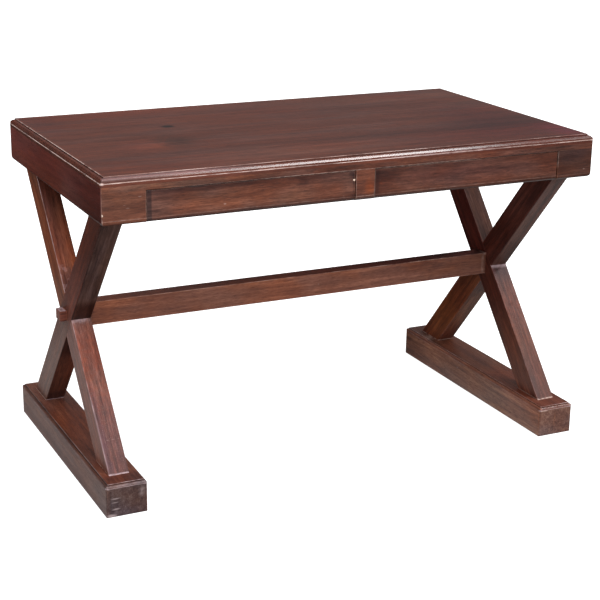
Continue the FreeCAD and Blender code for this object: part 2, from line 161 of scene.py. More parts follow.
# ------------------------------------------------------------------ the shared wood pattern
def wood_group():
    """Grain of a stained plank. Along: X of Grain; across: Y and Z. Lengths in metres."""
    g = bpy.data.node_groups.new("stained_wood", "ShaderNodeTree")
    for nm, kind in (("Grain", "NodeSocketVector"), ("Edge", "NodeSocketFloat"), ("Corner", "NodeSocketFloat"),
                     ("Wear", "NodeSocketFloat"), ("Groove", "NodeSocketFloat"), ("Dark", "NodeSocketColor"),
                     ("Mid", "NodeSocketColor"), ("Light", "NodeSocketColor"),
                     ("Grey", "NodeSocketFloat"), ("Contrast", "NodeSocketFloat"), ("Shade", "NodeSocketFloat"),
                     ("Dents", "NodeSocketFloat")):
        g.interface.new_socket(nm, in_out="INPUT", socket_type=kind)
    for nm, kind in (("Color", "NodeSocketColor"), ("Rubbed", "NodeSocketFloat"), ("Roughness", "NodeSocketFloat"),
                     ("Height", "NodeSocketFloat")):
        g.interface.new_socket(nm, in_out="OUTPUT", socket_type=kind)
    G = Graph(g)
    i = g.nodes.new("NodeGroupInput").outputs
    o = g.nodes.new("NodeGroupOutput").inputs

    def centred(v, k):
        return G.mul(G.sub(v, 0.5), k)

    # the grain lines wander a little along the plank
    wob = G.noise(G.scale(i["Grain"], (1.9, 6.0, 6.0)), detail=2.0, out=1)
    wob = G.vec("SUBTRACT", wob, (0.5, 0.5, 0.5))
    p = G.vec("ADD", i["Grain"], G.scale(wob, (0.0, 0.012, 0.012)))

    fleck = G.noise(G.scale(p, (75.0, 420.0, 420.0)), detail=2.0, rough=0.6)
    streak = G.noise(G.scale(p, (17.0, 230.0, 230.0)), detail=2.0, rough=0.6)
    band = G.noise(G.scale(p, (5.5, 85.0, 85.0)), detail=2.0, rough=0.55)
    broad = G.noise(G.scale(p, (1.5, 27.0, 27.0)), detail=2.0, rough=0.5)
    pore = G.noise(G.scale(p, (62.0, 950.0, 950.0)), detail=1.0, rough=0.5)
    mottle = G.noise(G.scale(i["Grain"], (3.4, 8.5, 8.5)), detail=3.0, rough=0.55)
    cloud = G.noise(G.vec("ADD", G.scale(i["Grain"], (6.0, 13.0, 13.0)), (7.3, 1.9, 4.1)), detail=2.0, rough=0.5)
    warm = G.noise(G.vec("ADD", G.scale(i["Grain"], (9.0, 24.0, 24.0)), (2.7, 9.4, 5.6)), detail=2.0, rough=0.6)

    # tone of the stain: 0 dark, 1 light
    t = G.add(centred(streak, 1.2), centred(band, 1.1))
    t = G.add(t, centred(fleck, 0.8))
    t = G.add(t, centred(broad, 0.7))
    t = G.add(t, centred(mottle, 0.75))
    t = G.add(G.add(G.mul(t, i["Contrast"]), 0.5), i["Shade"])
    lowmix = G.mix(G.ramp(t, 0.0, 0.5, smooth=False), i["Dark"], i["Mid"])
    col = G.mix(G.ramp(t, 0.5, 1.0, smooth=False), lowmix, i["Light"])

    # greyer and warmer clouds in the finish
    grey = G.new("ShaderNodeHueSaturation")
    grey.inputs["Hue"].default_value = 0.5
    grey.inputs["Saturation"].default_value = 0.6
    grey.inputs["Value"].default_value = 1.0
    G.put(grey.inputs["Color"], col)
    col = G.mix(G.mul(G.ramp(cloud, 0.40, 0.66), i["Grey"]), col, grey.outputs[0])
    col = G.mix(G.ramp(warm, 0.46, 0.72, 0.0, 0.55), col, G.mix(1.0, col, (1.10, 0.98, 0.78, 1), "MULTIPLY"))

    # open pores, filled dark by the stain
    pores = G.ramp(pore, 0.58, 0.68)
    col = G.mix(G.mul(pores, 0.5), col, G.mix(1.0, i["Dark"], (0.5, 0.45, 0.45, 1), "MULTIPLY"))

    # painted shade: a dark line in the quirks, and a dark line at the joints
    col = G.mix(i["Groove"], col, G.mix(1.0, i["Dark"], (0.34, 0.30, 0.30, 1), "MULTIPLY"))

    # wear on the arrises: a thin pale line of uneven strength, wider at the corners
    n1 = G.noise(G.scale(i["Grain"], (48.0, 60.0, 60.0)), detail=3.0, rough=0.65)
    n2 = G.noise(G.vec("ADD", G.scale(i["Grain"], (11.0, 11.0, 11.0)), (3.3, 8.1, 2.2)), detail=1.0)
    chance = G.add(G.mul(n1, 0.75), G.mul(n2, 0.75))
    amount = G.ramp(chance, 0.60, 0.95, 0.14, 1.0)
    line = G.ramp(i["Edge"], 0.0012, 0.0003)
    tip = G.mul(G.ramp(i["Corner"], 0.010, 0.002), G.ramp(i["Edge"], 0.0030, 0.0010))
    wear = G.mul(G.mx(G.mul(line, amount), G.mul(tip, 0.6)), i["Wear"])
    thin = G.mul(G.ramp(i["Edge"], 0.0075, 0.0006), G.mul(i["Wear"], G.ramp(n1, 0.35, 0.65, 0.05, 0.28)))
    col = G.mix(thin, col, i["Light"])

    # small dents and rubbed spots away from the arrises
    vor = G.new("ShaderNodeTexVoronoi", feature="F1")
    G.put(vor.inputs["Vector"], G.scale(i["Grain"], (24.0, 34.0, 34.0)))
    vor.inputs["Scale"].default_value = 1.0
    vor.inputs["Randomness"].default_value = 1.0
    pick = G.xyz(vor.outputs["Color"])
    spot = G.mul(G.mul(G.ramp(vor.outputs["Distance"], 0.075, 0.03), G.ramp(pick[0], 0.86, 0.88)), i["Dents"])
    wear = G.mx(wear, G.mul(spot, G.mul(i["Wear"], G.ramp(pick[1], 0.0, 1.0, 0.2, 0.7))))
    rough = G.add(0.40, centred(mottle, 0.20))
    rough = G.add(rough, centred(streak, 0.16))
    rough = G.add(rough, G.mul(pores, 0.10))
    rough = G.add(rough, G.mul(wear, 0.16))
    rough = G.add(rough, G.mul(i["Groove"], 0.2))

    h = G.add(G.mul(streak, 0.5), G.mul(fleck, 0.35))
    h = G.sub(h, G.mul(pores, 0.6))
    h = G.add(h, G.mul(band, 0.4))
    h = G.sub(h, G.mul(spot, 0.8))

    G.put(o["Color"], col)
    G.put(o["Rubbed"], wear)
    G.put(o["Roughness"], rough)
    G.put(o["Height"], h)
    return g


WOOD = wood_group()
SPEC = {"front": 0.32, "top": 0.32, "side": 0.30, "beam": 0.25, "foot": 0.25, "stretcher": 0.28}
DULL = {"beam": 0.07, "foot": 0.05}
MOULD_ROUGH = 0.215

TONES = {   # dark, mid, light, worn (linear)
    "front": (srgb(54, 25, 18), srgb(87, 47, 33), srgb(118, 68, 49), srgb(206, 166, 148)),
    "top": (srgb(52, 22, 15), srgb(83, 41, 29), srgb(112, 60, 44), srgb(208, 184, 176)),
    "side": (srgb(66, 22, 17), srgb(97, 38, 29), srgb(122, 54, 41), srgb(200, 160, 148)),
    "beam": (srgb(56, 26, 19), srgb(88, 46, 33), srgb(118, 68, 52), srgb(192, 166, 166)),
    "foot": (srgb(60, 30, 23), srgb(90, 51, 38), srgb(116, 75, 58), srgb(188, 168, 170)),
    "stretcher": (srgb(64, 28, 20), srgb(103, 53, 36), srgb(136, 76, 54), srgb(206, 168, 152)),
}


def rgba(c, k=1.0):
    return (c[0] * k, c[1] * k, c[2] * k, 1.0)


def mark_mask(G, pos, wob, broken, m):
    """Soft stain, chip, line, or patch of painted light or shade: an ellipsoid (or box) round m['c'] with radii m['r'],
    inside the ramps of m['zone'].
    """
    q = G.vec("ADD", pos, G.scale(wob, (m.get("wob", 1.0),) * 3)) if m.get("wob", 1.0) else pos
    zone = 1.0
    for n, lo, hi in m.get("zone", ()):
        along = G.dot(pos if abs(hi - lo) < 0.003 else q, Vector(n))
        zone = G.mul(zone, G.ramp(along, lo, hi))
    if "c" not in m:
        k = G.mul(zone, m.get("amt", 1.0))
        if m.get("patchy"):
            k = G.mul(k, G.ramp(broken, *m["patchy"]))
        if m.get("speck"):
            k = G.mul(k, G.ramp(G.noise(pos, scale=m["speck"], detail=1.0, rough=0.6), 0.64, 0.71))
        return k
    q = G.vec("SUBTRACT", q, m["c"])
    if m.get("turn"):
        r = G.new("ShaderNodeVectorRotate", rotation_type="EULER_XYZ")
        G.put(r.inputs["Vector"], q)
        r.inputs["Rotation"].default_value = m["turn"]
        q = r.outputs[0]
    q = G.scale(q, tuple(1.0 / v for v in m["r"]))
    if m.get("box"):
        x, y, z = G.xyz(q)
        d = G.mx(G.absv(x), G.mx(G.absv(y), G.absv(z)))
    else:
        d = G.vec("LENGTH", q, out=1)
    soft = m.get("soft", 0.3)
    k = G.ramp(d, 1.0 + soft, 1.0 - soft, 0.0, m.get("amt", 1.0))
    if m.get("broken"):
        k = G.mul(k, G.ramp(broken, m["broken"] - 0.12, m["broken"] + 0.20, 0.30, 1.0))
    return G.mul(k, zone) if m.get("zone") else k


def wood(name, turn=(0, 0, 0), shift=(0, 0, 0), slabs=(), ease=0.0, tone="front", gain=1.0, wear=0.6, grey=0.5,
         contrast=1.0, shade=0.0, rough=0.0, bump=0.35, stretch=1.0, extra=None, marks=(), dents=1.0):
    """A plank's own material. turn: Euler that lays the grain along X. slabs: (normal, centre, half) of its faces."""
    m = bpy.data.materials.new(name)
    m.use_nodes = True
    t = m.node_tree
    t.nodes.clear()
    G = Graph(t)
    pos = G.new("ShaderNodeTexCoord").outputs["Object"]
    mp = G.new("ShaderNodeMapping", vector_type="POINT")
    G.put(mp.inputs["Vector"], pos)
    mp.inputs["Location"].default_value = shift
    mp.inputs["Rotation"].default_value = turn
    grain = G.scale(mp.outputs[0], (1.0 / stretch, 1.0, 1.0))
    ds = []
    for n, c, h in slabs:
        d = G.dot(pos, Vector(n))
        d = G.absv(G.sub(d, c)) if abs(c) > 1e-9 else G.absv(d)
        ds.append(G.sub(h, d))
    if len(ds) == 3:
        a, b, c = ds
        lo, hi = G.mn(a, b), G.mx(a, b)
        edge = G.mx(lo, G.mn(hi, c))
        corner = G.mx(hi, c)
    elif len(ds) == 2:
        edge, corner = G.mx(*ds), 1.0
    else:
        edge, corner = 1.0, 1.0
    if ease and ds:
        edge = G.mx(G.sub(edge, 0.293 * ease), 0.0)
    groove = 0.0
    wearv, polish = wear, None
    if extra is not None:
        edge, corner, groove, wearv, polish = extra(G, pos, edge, corner, wear)
    gr = G.new("ShaderNodeGroup")
    gr.node_tree = WOOD
    G.put(gr.inputs["Grain"], grain)
    G.put(gr.inputs["Edge"], edge)
    G.put(gr.inputs["Corner"], corner)
    G.put(gr.inputs["Wear"], wearv)
    G.put(gr.inputs["Groove"], groove)
    dark, mid, light, worn = TONES[tone]
    gr.inputs["Dark"].default_value = rgba(dark, gain)
    gr.inputs["Mid"].default_value = rgba(mid, gain)
    gr.inputs["Light"].default_value = rgba(light, gain)
    gr.inputs["Grey"].default_value = grey
    gr.inputs["Contrast"].default_value = contrast
    gr.inputs["Shade"].default_value = shade
    gr.inputs["Dents"].default_value = dents
    col, rubbed = gr.outputs["Color"], gr.outputs["Rubbed"]
    matt = 0.0
    if marks:
        wob = G.vec("SUBTRACT", G.noise(G.scale(pos, (42.0, 42.0, 42.0)), detail=2.0, out=1), (0.5, 0.5, 0.5))
        wob = G.scale(wob, (0.012, 0.012, 0.012))
        brk = G.noise(G.scale(pos, (85.0, 85.0, 85.0)), detail=2.0, rough=0.6)
        for mk in sorted(marks, key=lambda q: "to" in q):       # stains and painted shade first, then what lies on them
            k = mark_mask(G, pos, wob, brk, mk)
            if mk.get("matt"):
                matt = G.mx(matt, G.mul(k, mk["matt"]))
            if "fade" in mk:
                rubbed = G.mul(rubbed, G.sub(1.0, G.mul(k, mk["fade"])))
            if "to" in mk:
                if rubbed is not None:
                    col, rubbed = G.mix(rubbed, col, rgba(worn)), None
                col = G.mix(k, col, rgba(mk["to"]))
            elif "k" in mk:
                col = G.mix(k, col, (*mk["k"], 1.0), "MULTIPLY")
    if rubbed is not None:
        col = G.mix(rubbed, col, rgba(worn))
    bs = G.new("ShaderNodeBsdfPrincipled")
    G.put(bs.inputs["Base Color"], col)
    r = gr.outputs["Roughness"]
    if rough or DULL.get(tone):
        r = G.add(r, rough + DULL.get(tone, 0.0))
    if polish is not None:
        r = G.add(r, G.mul(polish, G.sub(MOULD_ROUGH, r)))
    if matt != 0.0:
        r = G.add(r, G.mul(matt, G.sub(0.85, r)))
    G.put(bs.inputs["Roughness"], r)
    bs.inputs["IOR"].default_value = 1.5
    bs.inputs["Specular IOR Level"].default_value = SPEC[tone]
    bp = G.new("ShaderNodeBump")
    bp.inputs["Strength"].default_value = bump
    bp.inputs["Distance"].default_value = 0.0004
    h = gr.outputs["Height"]
    if polish is not None:
        h = G.mul(h, G.sub(1.0, G.mul(polish, 0.98)))
    G.put(bp.inputs["Height"], h)
    G.put(bs.inputs["Normal"], bp.outputs[0])
    out = G.new("ShaderNodeOutputMaterial")
    G.put(out.inputs["Surface"], bs.outputs[0])
    return m


def dress(node, mat):
    """Gives a CAD node its finish, on the object so that the mesh is left alone."""
    ob = nodes_cad[node]
    if not ob.data.materials:
        ob.data.materials.append(None)
    for s in ob.material_slots:
        s.link = "OBJECT"
        s.material = mat


# ------------------------------------------------------------------ faces of each member, in metres
HX, HY, TOP_Z = 0.606, 0.351, 0.760
LOW_Z = 0.658
SX, SY, SZ = (1, 0, 0), (0, 1, 0), (0, 0, 1)
R90 = math.pi / 2


def rim(G, pos, cx, hx, hy, ztop, zarris, inset, riser):
    """Distances round a moulded board: how far in from its sides, and masks of its arrises and quirk."""
    x, y, z = G.xyz(pos)
    ux = G.sub(hx, G.absv(G.sub(x, cx)))
    uy = G.sub(hy, G.absv(y))
    u = G.mn(ux, uy)
    field = G.mx(G.absv(G.sub(u, inset)), G.sub(ztop, z))                   # the field's arris
    outer = G.mx(u, G.absv(G.sub(z, zarris)))                               # the outer arris
    quirk = G.mx(G.absv(G.sub(u, inset - 0.0003)), G.absv(G.sub(z, ztop - riser)))
    mitre = G.mx(G.absv(G.sub(ux, uy)), G.sub(u, inset))
    return ux, uy, u, z, field, outer, quirk, mitre


def top_extra(G, pos, edge, corner, wear):
    ux, uy, u, z, field, outer, quirk, mitre = rim(G, pos, 0.0, HX, HY, TOP_Z, 0.747, 0.0107, 0.0031)
    e = G.mn(field, outer)
    c = G.mx(G.mx(ux, uy), 0.0)
    # painted shade in the quirk at the foot of the riser; the mitre gets a dark joint line
    q = G.ramp(quirk, 0.0016, 0.0002)
    mt = G.mul(G.ramp(mitre, 0.0006, 0.0001), 0.5)
    # the moulding is waxed smoother than the field, most of all in the middle of its length
    x = G.xyz(pos)[0]
    face = G.mul(G.ramp(u, 0.0104, 0.0098), G.ramp(z, 0.7480, 0.7500))
    face = G.mul(face, G.mn(G.ramp(x, 0.19, 0.44, 1.0, 0.0, smooth=False), G.ramp(x, -0.40, -0.62, 1.0, 0.70, smooth=False)))
    wear = G.mul(G.mul(G.ramp(x, -0.30, -0.60, 1.0, 1.9), G.ramp(z, 0.7500, 0.7580, 1.28, 1.08)), wear)
    return e, c, G.mx(q, mt), wear, face


def foot_extra(cx):
    def f(G, pos, edge, corner, wear):
        ux, uy, u, z, field, outer, quirk, mitre = rim(G, pos, cx, 0.0475, 0.3384, 0.077, 0.0682, 0.0062, 0.0026)
        e = G.mn(field, G.add(outer, 0.0004))
        # painted shade in the quirk
        q = G.ramp(quirk, 0.0014, 0.0002)
        # the front end is rubbed paler, which also paints a highlight on its arrises, and waxed smoother
        end = G.ramp(G.xyz(pos)[1], -0.328, -0.331)
        face = G.mul(G.mul(G.ramp(u, 0.0060, 0.0056), G.ramp(z, 0.0690, 0.0700)), end)
        return e, G.mx(ux, uy), q, G.mul(wear, G.ramp(end, 0.0, 1.0, 1.0, 2.2)), face
    return f


# stains, chips, rubbed lines, and painted shade, shadow, highlight and reflection, placed on the faces they lie on
PALE = srgb(206, 178, 166)
CHIP = srgb(232, 206, 186)
# pale lilac: a real glue and dust smear on the trestles, and a painted glint along the mouldings
LILAC_SMEAR_AND_GLINT = srgb(196, 172, 176)
# bluish dark of the painted shadow at the recessed end of a drawer front
PAINTED_SHADOW_BLUE = (0.42, 0.45, 0.54)


def on_top(x, y, rx, ry, **kw):
    return dict(c=(x, y, 0.76), r=(rx, ry, 0.02), **kw)


def on_front(x, z, rx, rz, **kw):
    return dict(c=(x, -0.35, z), r=(rx, 0.03, rz), **kw)


def line_x(x0, x1, z, thick=0.0008, amt=0.4, to=PALE, **kw):
    """Thin rubbed line that runs level along a front face."""
    return on_front((x0 + x1) / 2, z, (x1 - x0) / 2, thick, to=to, amt=amt, box=True, soft=0.5, wob=0.02, broken=0.45, **kw)


def line_z(x, z0, z1, thick=0.0008, amt=0.4, to=PALE, **kw):
    return on_front(x, (z0 + z1) / 2, thick, (z1 - z0) / 2, to=to, amt=amt, box=True, soft=0.5, wob=0.03, broken=0.45, **kw)


TOP_MARKS = [
    # painted glint: a pale lilac line along the field arris at the left end
    dict(c=(-0.480, -0.346, 0.7566), r=(0.190, 0.010, 0.0030), to=LILAC_SMEAR_AND_GLINT, amt=0.17, soft=0.5, wob=0.3),
    # painted shade on the moulding at the left corner, which is also made matt
    dict(c=(-0.565, -0.351, 0.7512), r=(0.110, 0.008, 0.0030), k=(0.60, 0.52, 0.50), soft=0.6, wob=0.3, matt=0.5),
    dict(c=(-0.520, -0.3506, 0.7474), r=(0.070, 0.004, 0.0010), to=PALE, amt=0.40, box=True, soft=0.5, wob=0.02, broken=0.42),
    dict(c=(-0.205, -0.3506, 0.7474), r=(0.060, 0.004, 0.0010), to=PALE, amt=0.34, box=True, soft=0.5, wob=0.02, broken=0.42),
    dict(c=(0.320, -0.3506, 0.7474), r=(0.110, 0.004, 0.0010), to=PALE, amt=0.40, box=True, soft=0.5, wob=0.02, broken=0.42),
    dict(c=(0.550, -0.3506, 0.7474), r=(0.045, 0.004, 0.0010), to=PALE, amt=0.30, box=True, soft=0.5, wob=0.02, broken=0.42),
    on_top(0.430, -0.150, 0.090, 0.050, k=(0.90, 0.84, 0.82), soft=0.9, wob=3.0),
    # painted shade: the moulding darker and browner at its right end, where its highlight fades
    dict(c=(0.480, -0.3465, 0.7520), r=(0.160, 0.0055, 0.0070), k=(0.92, 0.80, 0.68), box=True, soft=0.3, wob=0.1),
    dict(c=(-0.150, -0.344, 0.752), r=(0.320, 0.006, 0.008), k=(0.98, 0.98, 0.98), soft=0.8, wob=0.6),
    dict(c=(0.200, -0.350, 0.748), r=(0.150, 0.006, 0.0030), to=LILAC_SMEAR_AND_GLINT, amt=0.16, soft=0.7, wob=0.3, broken=0.42),
    on_top(-0.480, 0.290, 0.200, 0.110, k=(1.10, 0.96, 0.84), soft=0.9, wob=3.0),
    on_top(0.060, 0.200, 0.050, 0.150, k=(1.06, 0.94, 0.86), soft=0.9, wob=3.0),
    on_top(-0.350, -0.020, 0.150, 0.060, k=(0.92, 0.88, 0.84), soft=0.9, wob=3.0),
    on_top(-0.290, 0.106, 0.015, 0.013, k=(0.10, 0.12, 0.16), soft=0.45, wob=0.5),
    on_top(-0.290, 0.106, 0.034, 0.016, k=(0.86, 0.86, 0.88), soft=0.6),
    on_top(-0.332, -0.058, 0.040, 0.058, k=(0.64, 0.72, 0.74), soft=0.75, wob=2.0),
    on_top(-0.413, -0.081, 0.050, 0.045, k=(1.30, 1.24, 1.26), soft=0.8, wob=2.5),
    on_top(-0.385, -0.105, 0.018, 0.032, k=(1.14, 1.12, 1.00), soft=0.7, wob=2.0),
    on_top(-0.480, 0.007, 0.150, 0.014, k=(0.84, 0.84, 0.86), soft=0.8, wob=1.5),
    on_top(-0.350, -0.035, 0.003, 0.050, k=(1.25, 1.16, 1.12), soft=0.6, turn=(0, 0, 0.5), wob=0.6),
    on_top(-0.560, 0.250, 0.040, 0.120, k=(0.90, 0.84, 0.98), soft=0.9, wob=3.0),
    on_top(0.104, -0.009, 0.090, 0.045, k=(0.90, 0.95, 0.99), soft=0.9, wob=3.0),
    on_top(0.500, -0.080, 0.120, 0.170, k=(0.74, 0.42, 0.40), soft=0.9, wob=3.0),
    on_top(0.552, -0.070, 0.030, 0.055, k=(0.84, 0.84, 0.82), soft=0.9, wob=3.0),
    on_top(0.440, -0.240, 0.230, 0.110, k=(0.78, 0.50, 0.52), soft=0.9, wob=3.0),
    on_top(-0.110, -0.285, 0.180, 0.060, k=(1.16, 1.18, 1.12), soft=0.9, wob=3.0),
    on_top(-0.350, 0.300, 0.260, 0.050, k=(1.18, 1.02, 0.94), soft=0.9, wob=3.0),
    # painted reflection: a purple sheen at the top's right front corner
    dict(c=(0.575, -0.270, 0.768), r=(0.048, 0.080, 0.011), k=(1.50, 0.94, 2.00), soft=0.8, wob=0.6),
    on_top(0.432, 0.287, 0.060, 0.022, k=(1.14, 0.94, 0.88), soft=0.9, wob=2.0),
    on_top(0.350, -0.185, 0.060, 0.010, k=(0.80, 0.84, 0.88), soft=0.9, wob=2.0),
    on_top(-0.200, 0.270, 0.260, 0.070, k=(1.10, 1.00, 0.94), soft=0.9, wob=3.0),
    on_top(-0.300, -0.285, 0.330, 0.075, k=(1.20, 1.10, 1.03), soft=0.9, wob=3.0),
]

# top boards
seeds = (0.0, 3.1, 7.7, 12.9, 18.2)
for k in range(5):
    lo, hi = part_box("top_board_%d" % (k + 1))
    mine = [m for m in TOP_MARKS if m["c"][1] + 1.8 * m["r"][1] > lo[1] and m["c"][1] - 1.8 * m["r"][1] < hi[1]]
    dress("top_board_%d" % (k + 1),
          wood("top_board_%d_finish" % (k + 1), shift=(seeds[k], 0.37 * k, 0.11 * k), stretch=1.7, tone="top", gain=0.93,
               shade=(0.0, -0.02, 0.02, -0.02, 0.0)[k], wear=0.8, grey=0.3, contrast=0.66, extra=top_extra, marks=mine,
               dents=0.0))

# frieze: the arrises are those of the whole case, its lower round-over is darkened with painted shade
UPRIGHT = [(SX, 0, HX), (SY, 0, HY)]


# painted shade darkens the case's lower round-over, with a rubbed pale line above it
def case_low(x0, x1, line=0.15, dark=(0.60, 0.60, 0.64)):
    return [dict(zone=[(SZ, LOW_Z + 0.0090, LOW_Z + 0.0062), (SY, -0.30, -0.31)], k=dark, wob=0.12),
            line_x(x0, x1, LOW_Z + 0.0100, 0.0008, line)]


# painted shade on the lower round-over of the end and back aprons
PAINTED_LOW_SHADE = dict(zone=[(SZ, LOW_Z + 0.0080, LOW_Z + 0.0040)], k=(0.60, 0.58, 0.60), wob=0.15)

dress("front_top_rail", wood("front_rail_finish", shift=(1.7, 0.2, 0.9), slabs=UPRIGHT, ease=0.005, tone="front", wear=0.3,
      contrast=0.95, marks=[
          line_x(-0.432, -0.200, 0.7276, 0.0007, 0.28), line_x(-0.225, -0.022, 0.7276, 0.0008, 0.62),
          line_x(0.024, 0.250, 0.7276, 0.0008, 0.52), line_x(0.240, 0.505, 0.7276, 0.0007, 0.14), line_x(-0.130, -0.026, 0.7276, 0.0008, 0.45),
          on_front(-0.06, 0.738, 0.075, 0.008, k=(0.66, 0.70, 0.76), soft=0.7, wob=1.5),
          on_front(-0.30, 0.732, 0.24, 0.005, k=(0.80, 0.80, 0.82), soft=0.9),
          on_front(-0.44, 0.737, 0.18, 0.014, k=(1.36, 1.38, 1.24), soft=0.9, wob=1.0),
          on_front(-0.13, 0.732, 0.06, 0.008, k=(1.20, 1.16, 1.12), soft=0.9, wob=1.0),
          on_front(0.53, 0.733, 0.10, 0.014, k=(0.78, 0.74, 0.72), soft=0.9),
          on_front(0.33, 0.732, 0.17, 0.005, k=(0.85, 0.82, 0.84), soft=0.9),
          on_front(0.26, 0.740, 0.16, 0.008, k=(1.30, 1.28, 1.26), soft=0.9, wob=1.0),
          on_front(0.175, 0.733, 0.100, 0.008, k=(0.86, 0.96, 1.0), soft=0.9, wob=1.0),
          dict(zone=[(SX, -0.35, 0.0)], k=(0.96, 0.90, 0.88))]))
dress("front_block_left", wood("front_block_left_finish", shift=(4.2, 0.5, 0.3), slabs=UPRIGHT, ease=0.005, tone="front",
      gain=1.26, grey=0.5, wear=0.3, contrast=0.72, marks=case_low(-0.606, -0.510, 0.30, (0.98, 0.92, 0.86)) + [
          on_front(-0.560, 0.712, 0.045, 0.022, k=(1.06, 1.12, 1.10), soft=0.9, wob=1.0),
          on_front(-0.560, 0.690, 0.080, 0.050, k=(0.96, 1.06, 1.12), soft=0.9, wob=1.0),
          line_z(-0.5092, 0.672, 0.726, 0.0007, 0.28),
          on_front(-0.6046, 0.682, 0.0028, 0.0026, to=CHIP, soft=0.4, wob=0.3),
          on_front(-0.6046, 0.667, 0.0018, 0.0060, to=PALE, amt=0.35, soft=0.5, wob=0.3),
          on_front(-0.523, 0.715, 0.0034, 0.0012, to=PALE, amt=0.15, soft=0.5, wob=0.4),
          on_front(-0.549, 0.693, 0.0040, 0.0010, to=PALE, amt=0.11, soft=0.5, wob=0.4),
          on_front(-0.556, 0.700, 0.0028, 0.0009, to=PALE, amt=0.09, soft=0.5, wob=0.4),
          on_front(-0.572, 0.716, 0.0070, 0.0016, k=(1.22, 1.14, 1.06), soft=0.6, wob=0.4),
          on_front(-0.575, 0.676, 0.0050, 0.0012, k=(0.72, 0.68, 0.68), soft=0.6, wob=0.4)]))
dress("front_block_right", wood("front_block_right_finish", shift=(9.9, 0.1, 0.6), slabs=UPRIGHT, ease=0.005, tone="front",
      gain=0.67, wear=0.15, contrast=0.7, marks=case_low(0.510, 0.606, 0.06, (0.85, 0.86, 0.88)) + [
          on_front(0.560, 0.718, 0.045, 0.016, k=(0.82, 0.84, 0.98), soft=0.8, wob=1.5),
          line_z(0.5090, 0.690, 0.728, 0.0009, 0.24), line_z(0.5090, 0.662, 0.692, 0.0009, 0.24, to=srgb(170, 104, 70)),
          on_front(0.5835, 0.679, 0.0026, 0.0013, to=PALE, amt=0.18, soft=0.5, wob=0.3)]))
dress("front_centre_stile", wood("front_stile_finish", shift=(2.9, 0.7, 0.2), tone="front", gain=1.10, wear=0.4, contrast=0.8,
      marks=case_low(-0.022, 0.022, 0.30) + [
          on_front(0.011, 0.686, 0.011, 0.015, k=(1.50, 1.16, 0.74), soft=0.8, wob=0.8),
          on_front(0.015, 0.689, 0.004, 0.004, k=(1.2, 1.15, 1.1), soft=0.8, wob=0.4),
          line_z(-0.0224, 0.664, 0.726, 0.0007, 0.26),
          line_z(0.0224, 0.664, 0.694, 0.0007, 0.22)]))
# the end aprons, with painted shade on their lower round-over
for s_, k in ((-1, "left"), (1, "right")):
    dress("side_apron_" + k, wood("side_apron_%s_finish" % k, turn=(0, 0, R90), shift=(3.3 * s_, 0.4, 0.8), stretch=1.4,
                                  slabs=UPRIGHT, ease=0.005, tone="side", wear=0.35, contrast=0.45, grey=0.2,
                                  marks=[PAINTED_LOW_SHADE, dict(zone=[(SZ, 0.708, 0.686)], k=(0.82, 0.86, 0.80)),
                                         dict(zone=[(SZ, 0.690, 0.712), (SY, 0.15, 0.34)], k=(1.10, 1.22, 1.30)),
                                         dict(zone=[(SZ, 0.0, 0.1)], k=(1.10, 1.38, 1.46)),
                                         dict(zone=[(SY, -0.20, -0.30)], k=(1.10, 1.14, 1.10)),
                                         dict(zone=[(SY, -0.10, -0.33)], k=(0.62, 0.60, 0.66)),
                                         dict(zone=[(SY, 0.05, 0.34)], k=(1.30, 1.24, 1.26))]))
# the back apron, with painted shade on its lower round-over
dress("back_apron", wood("back_apron_finish", shift=(6.1, 0.9, 0.3), slabs=UPRIGHT, ease=0.005, tone="front", wear=0.35,
                         marks=[PAINTED_LOW_SHADE]))


# ------------------------------------------------------------------ trestles
class Beam:
    """Frame of one crossed beam: s runs down its length from the frieze, f points out of its front-facing side."""

    def __init__(self, side, part):
        sg = 1 if part == "outer" else -1
        lo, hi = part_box("beam_%s_%s" % (side, part))
        self.x0, self.x1 = lo[0], hi[0]
        self.d = Vector((0, sg * 0.5006, -0.581)).normalized()
        self.f = Vector((0, self.d.z, -sg * abs(self.d.y)))
        self.p0 = Vector((0, -sg * 0.2548, 0.658))
        self.half = 0.034

    def arris(self, s0, s1, **kw):
        """The rounded edge between the left-hand and the front-facing side."""
        at, a = self.d.dot(self.p0), self.f.dot(self.p0)
        return dict(zone=[(self.d, at + s0 - 0.01, at + s0 + 0.01), (self.d, at + s1 + 0.01, at + s1 - 0.01),
                          (SX, self.x0 + 0.0034, self.x0 + 0.0022), (self.f, a + self.half - 0.0034, a + self.half - 0.0022)],
                    wob=0, **kw)

    def on(self, face, s0, s1, soft=0.05, **kw):
        """A stretch of one face, s0 to s1 down the beam."""
        at = self.d.dot(self.p0)
        z = [(self.d, at + s0 - soft / 2, at + s0 + soft / 2), (self.d, at + s1 + soft / 2, at + s1 - soft / 2)]
        a = self.f.dot(self.p0)
        z.append({"left": (SX, self.x0 + 0.0010, self.x0 + 0.0002), "right": (SX, self.x1 - 0.0010, self.x1 - 0.0002),
                  "front": (self.f, a + self.half - 0.0010, a + self.half - 0.0002),
                  "back": (self.f, a - self.half + 0.0010, a - self.half + 0.0002)}[face])
        if "lean" in kw:
            z.append(kw.pop("lean"))
        return dict(zone=z, **kw)


def beam_extra(xc, left, rest):
    """Rubbed arris on the left-hand side only, the others stay dark."""
    def f(G, pos, edge, corner, wear):
        x = G.xyz(pos)[0]
        return edge, corner, 0.0, G.mul(G.ramp(x, xc + 0.004, xc - 0.004, rest, left), wear), None
    return f


FOOT_CX, FOOT_HX = 0.5617, 0.0475


def on_foot(side, x, z, rx, rz, **kw):
    return dict(c=((-1 if side == "left" else 1) * FOOT_CX + x, -0.338, z), r=(rx, 0.006, rz), **kw)


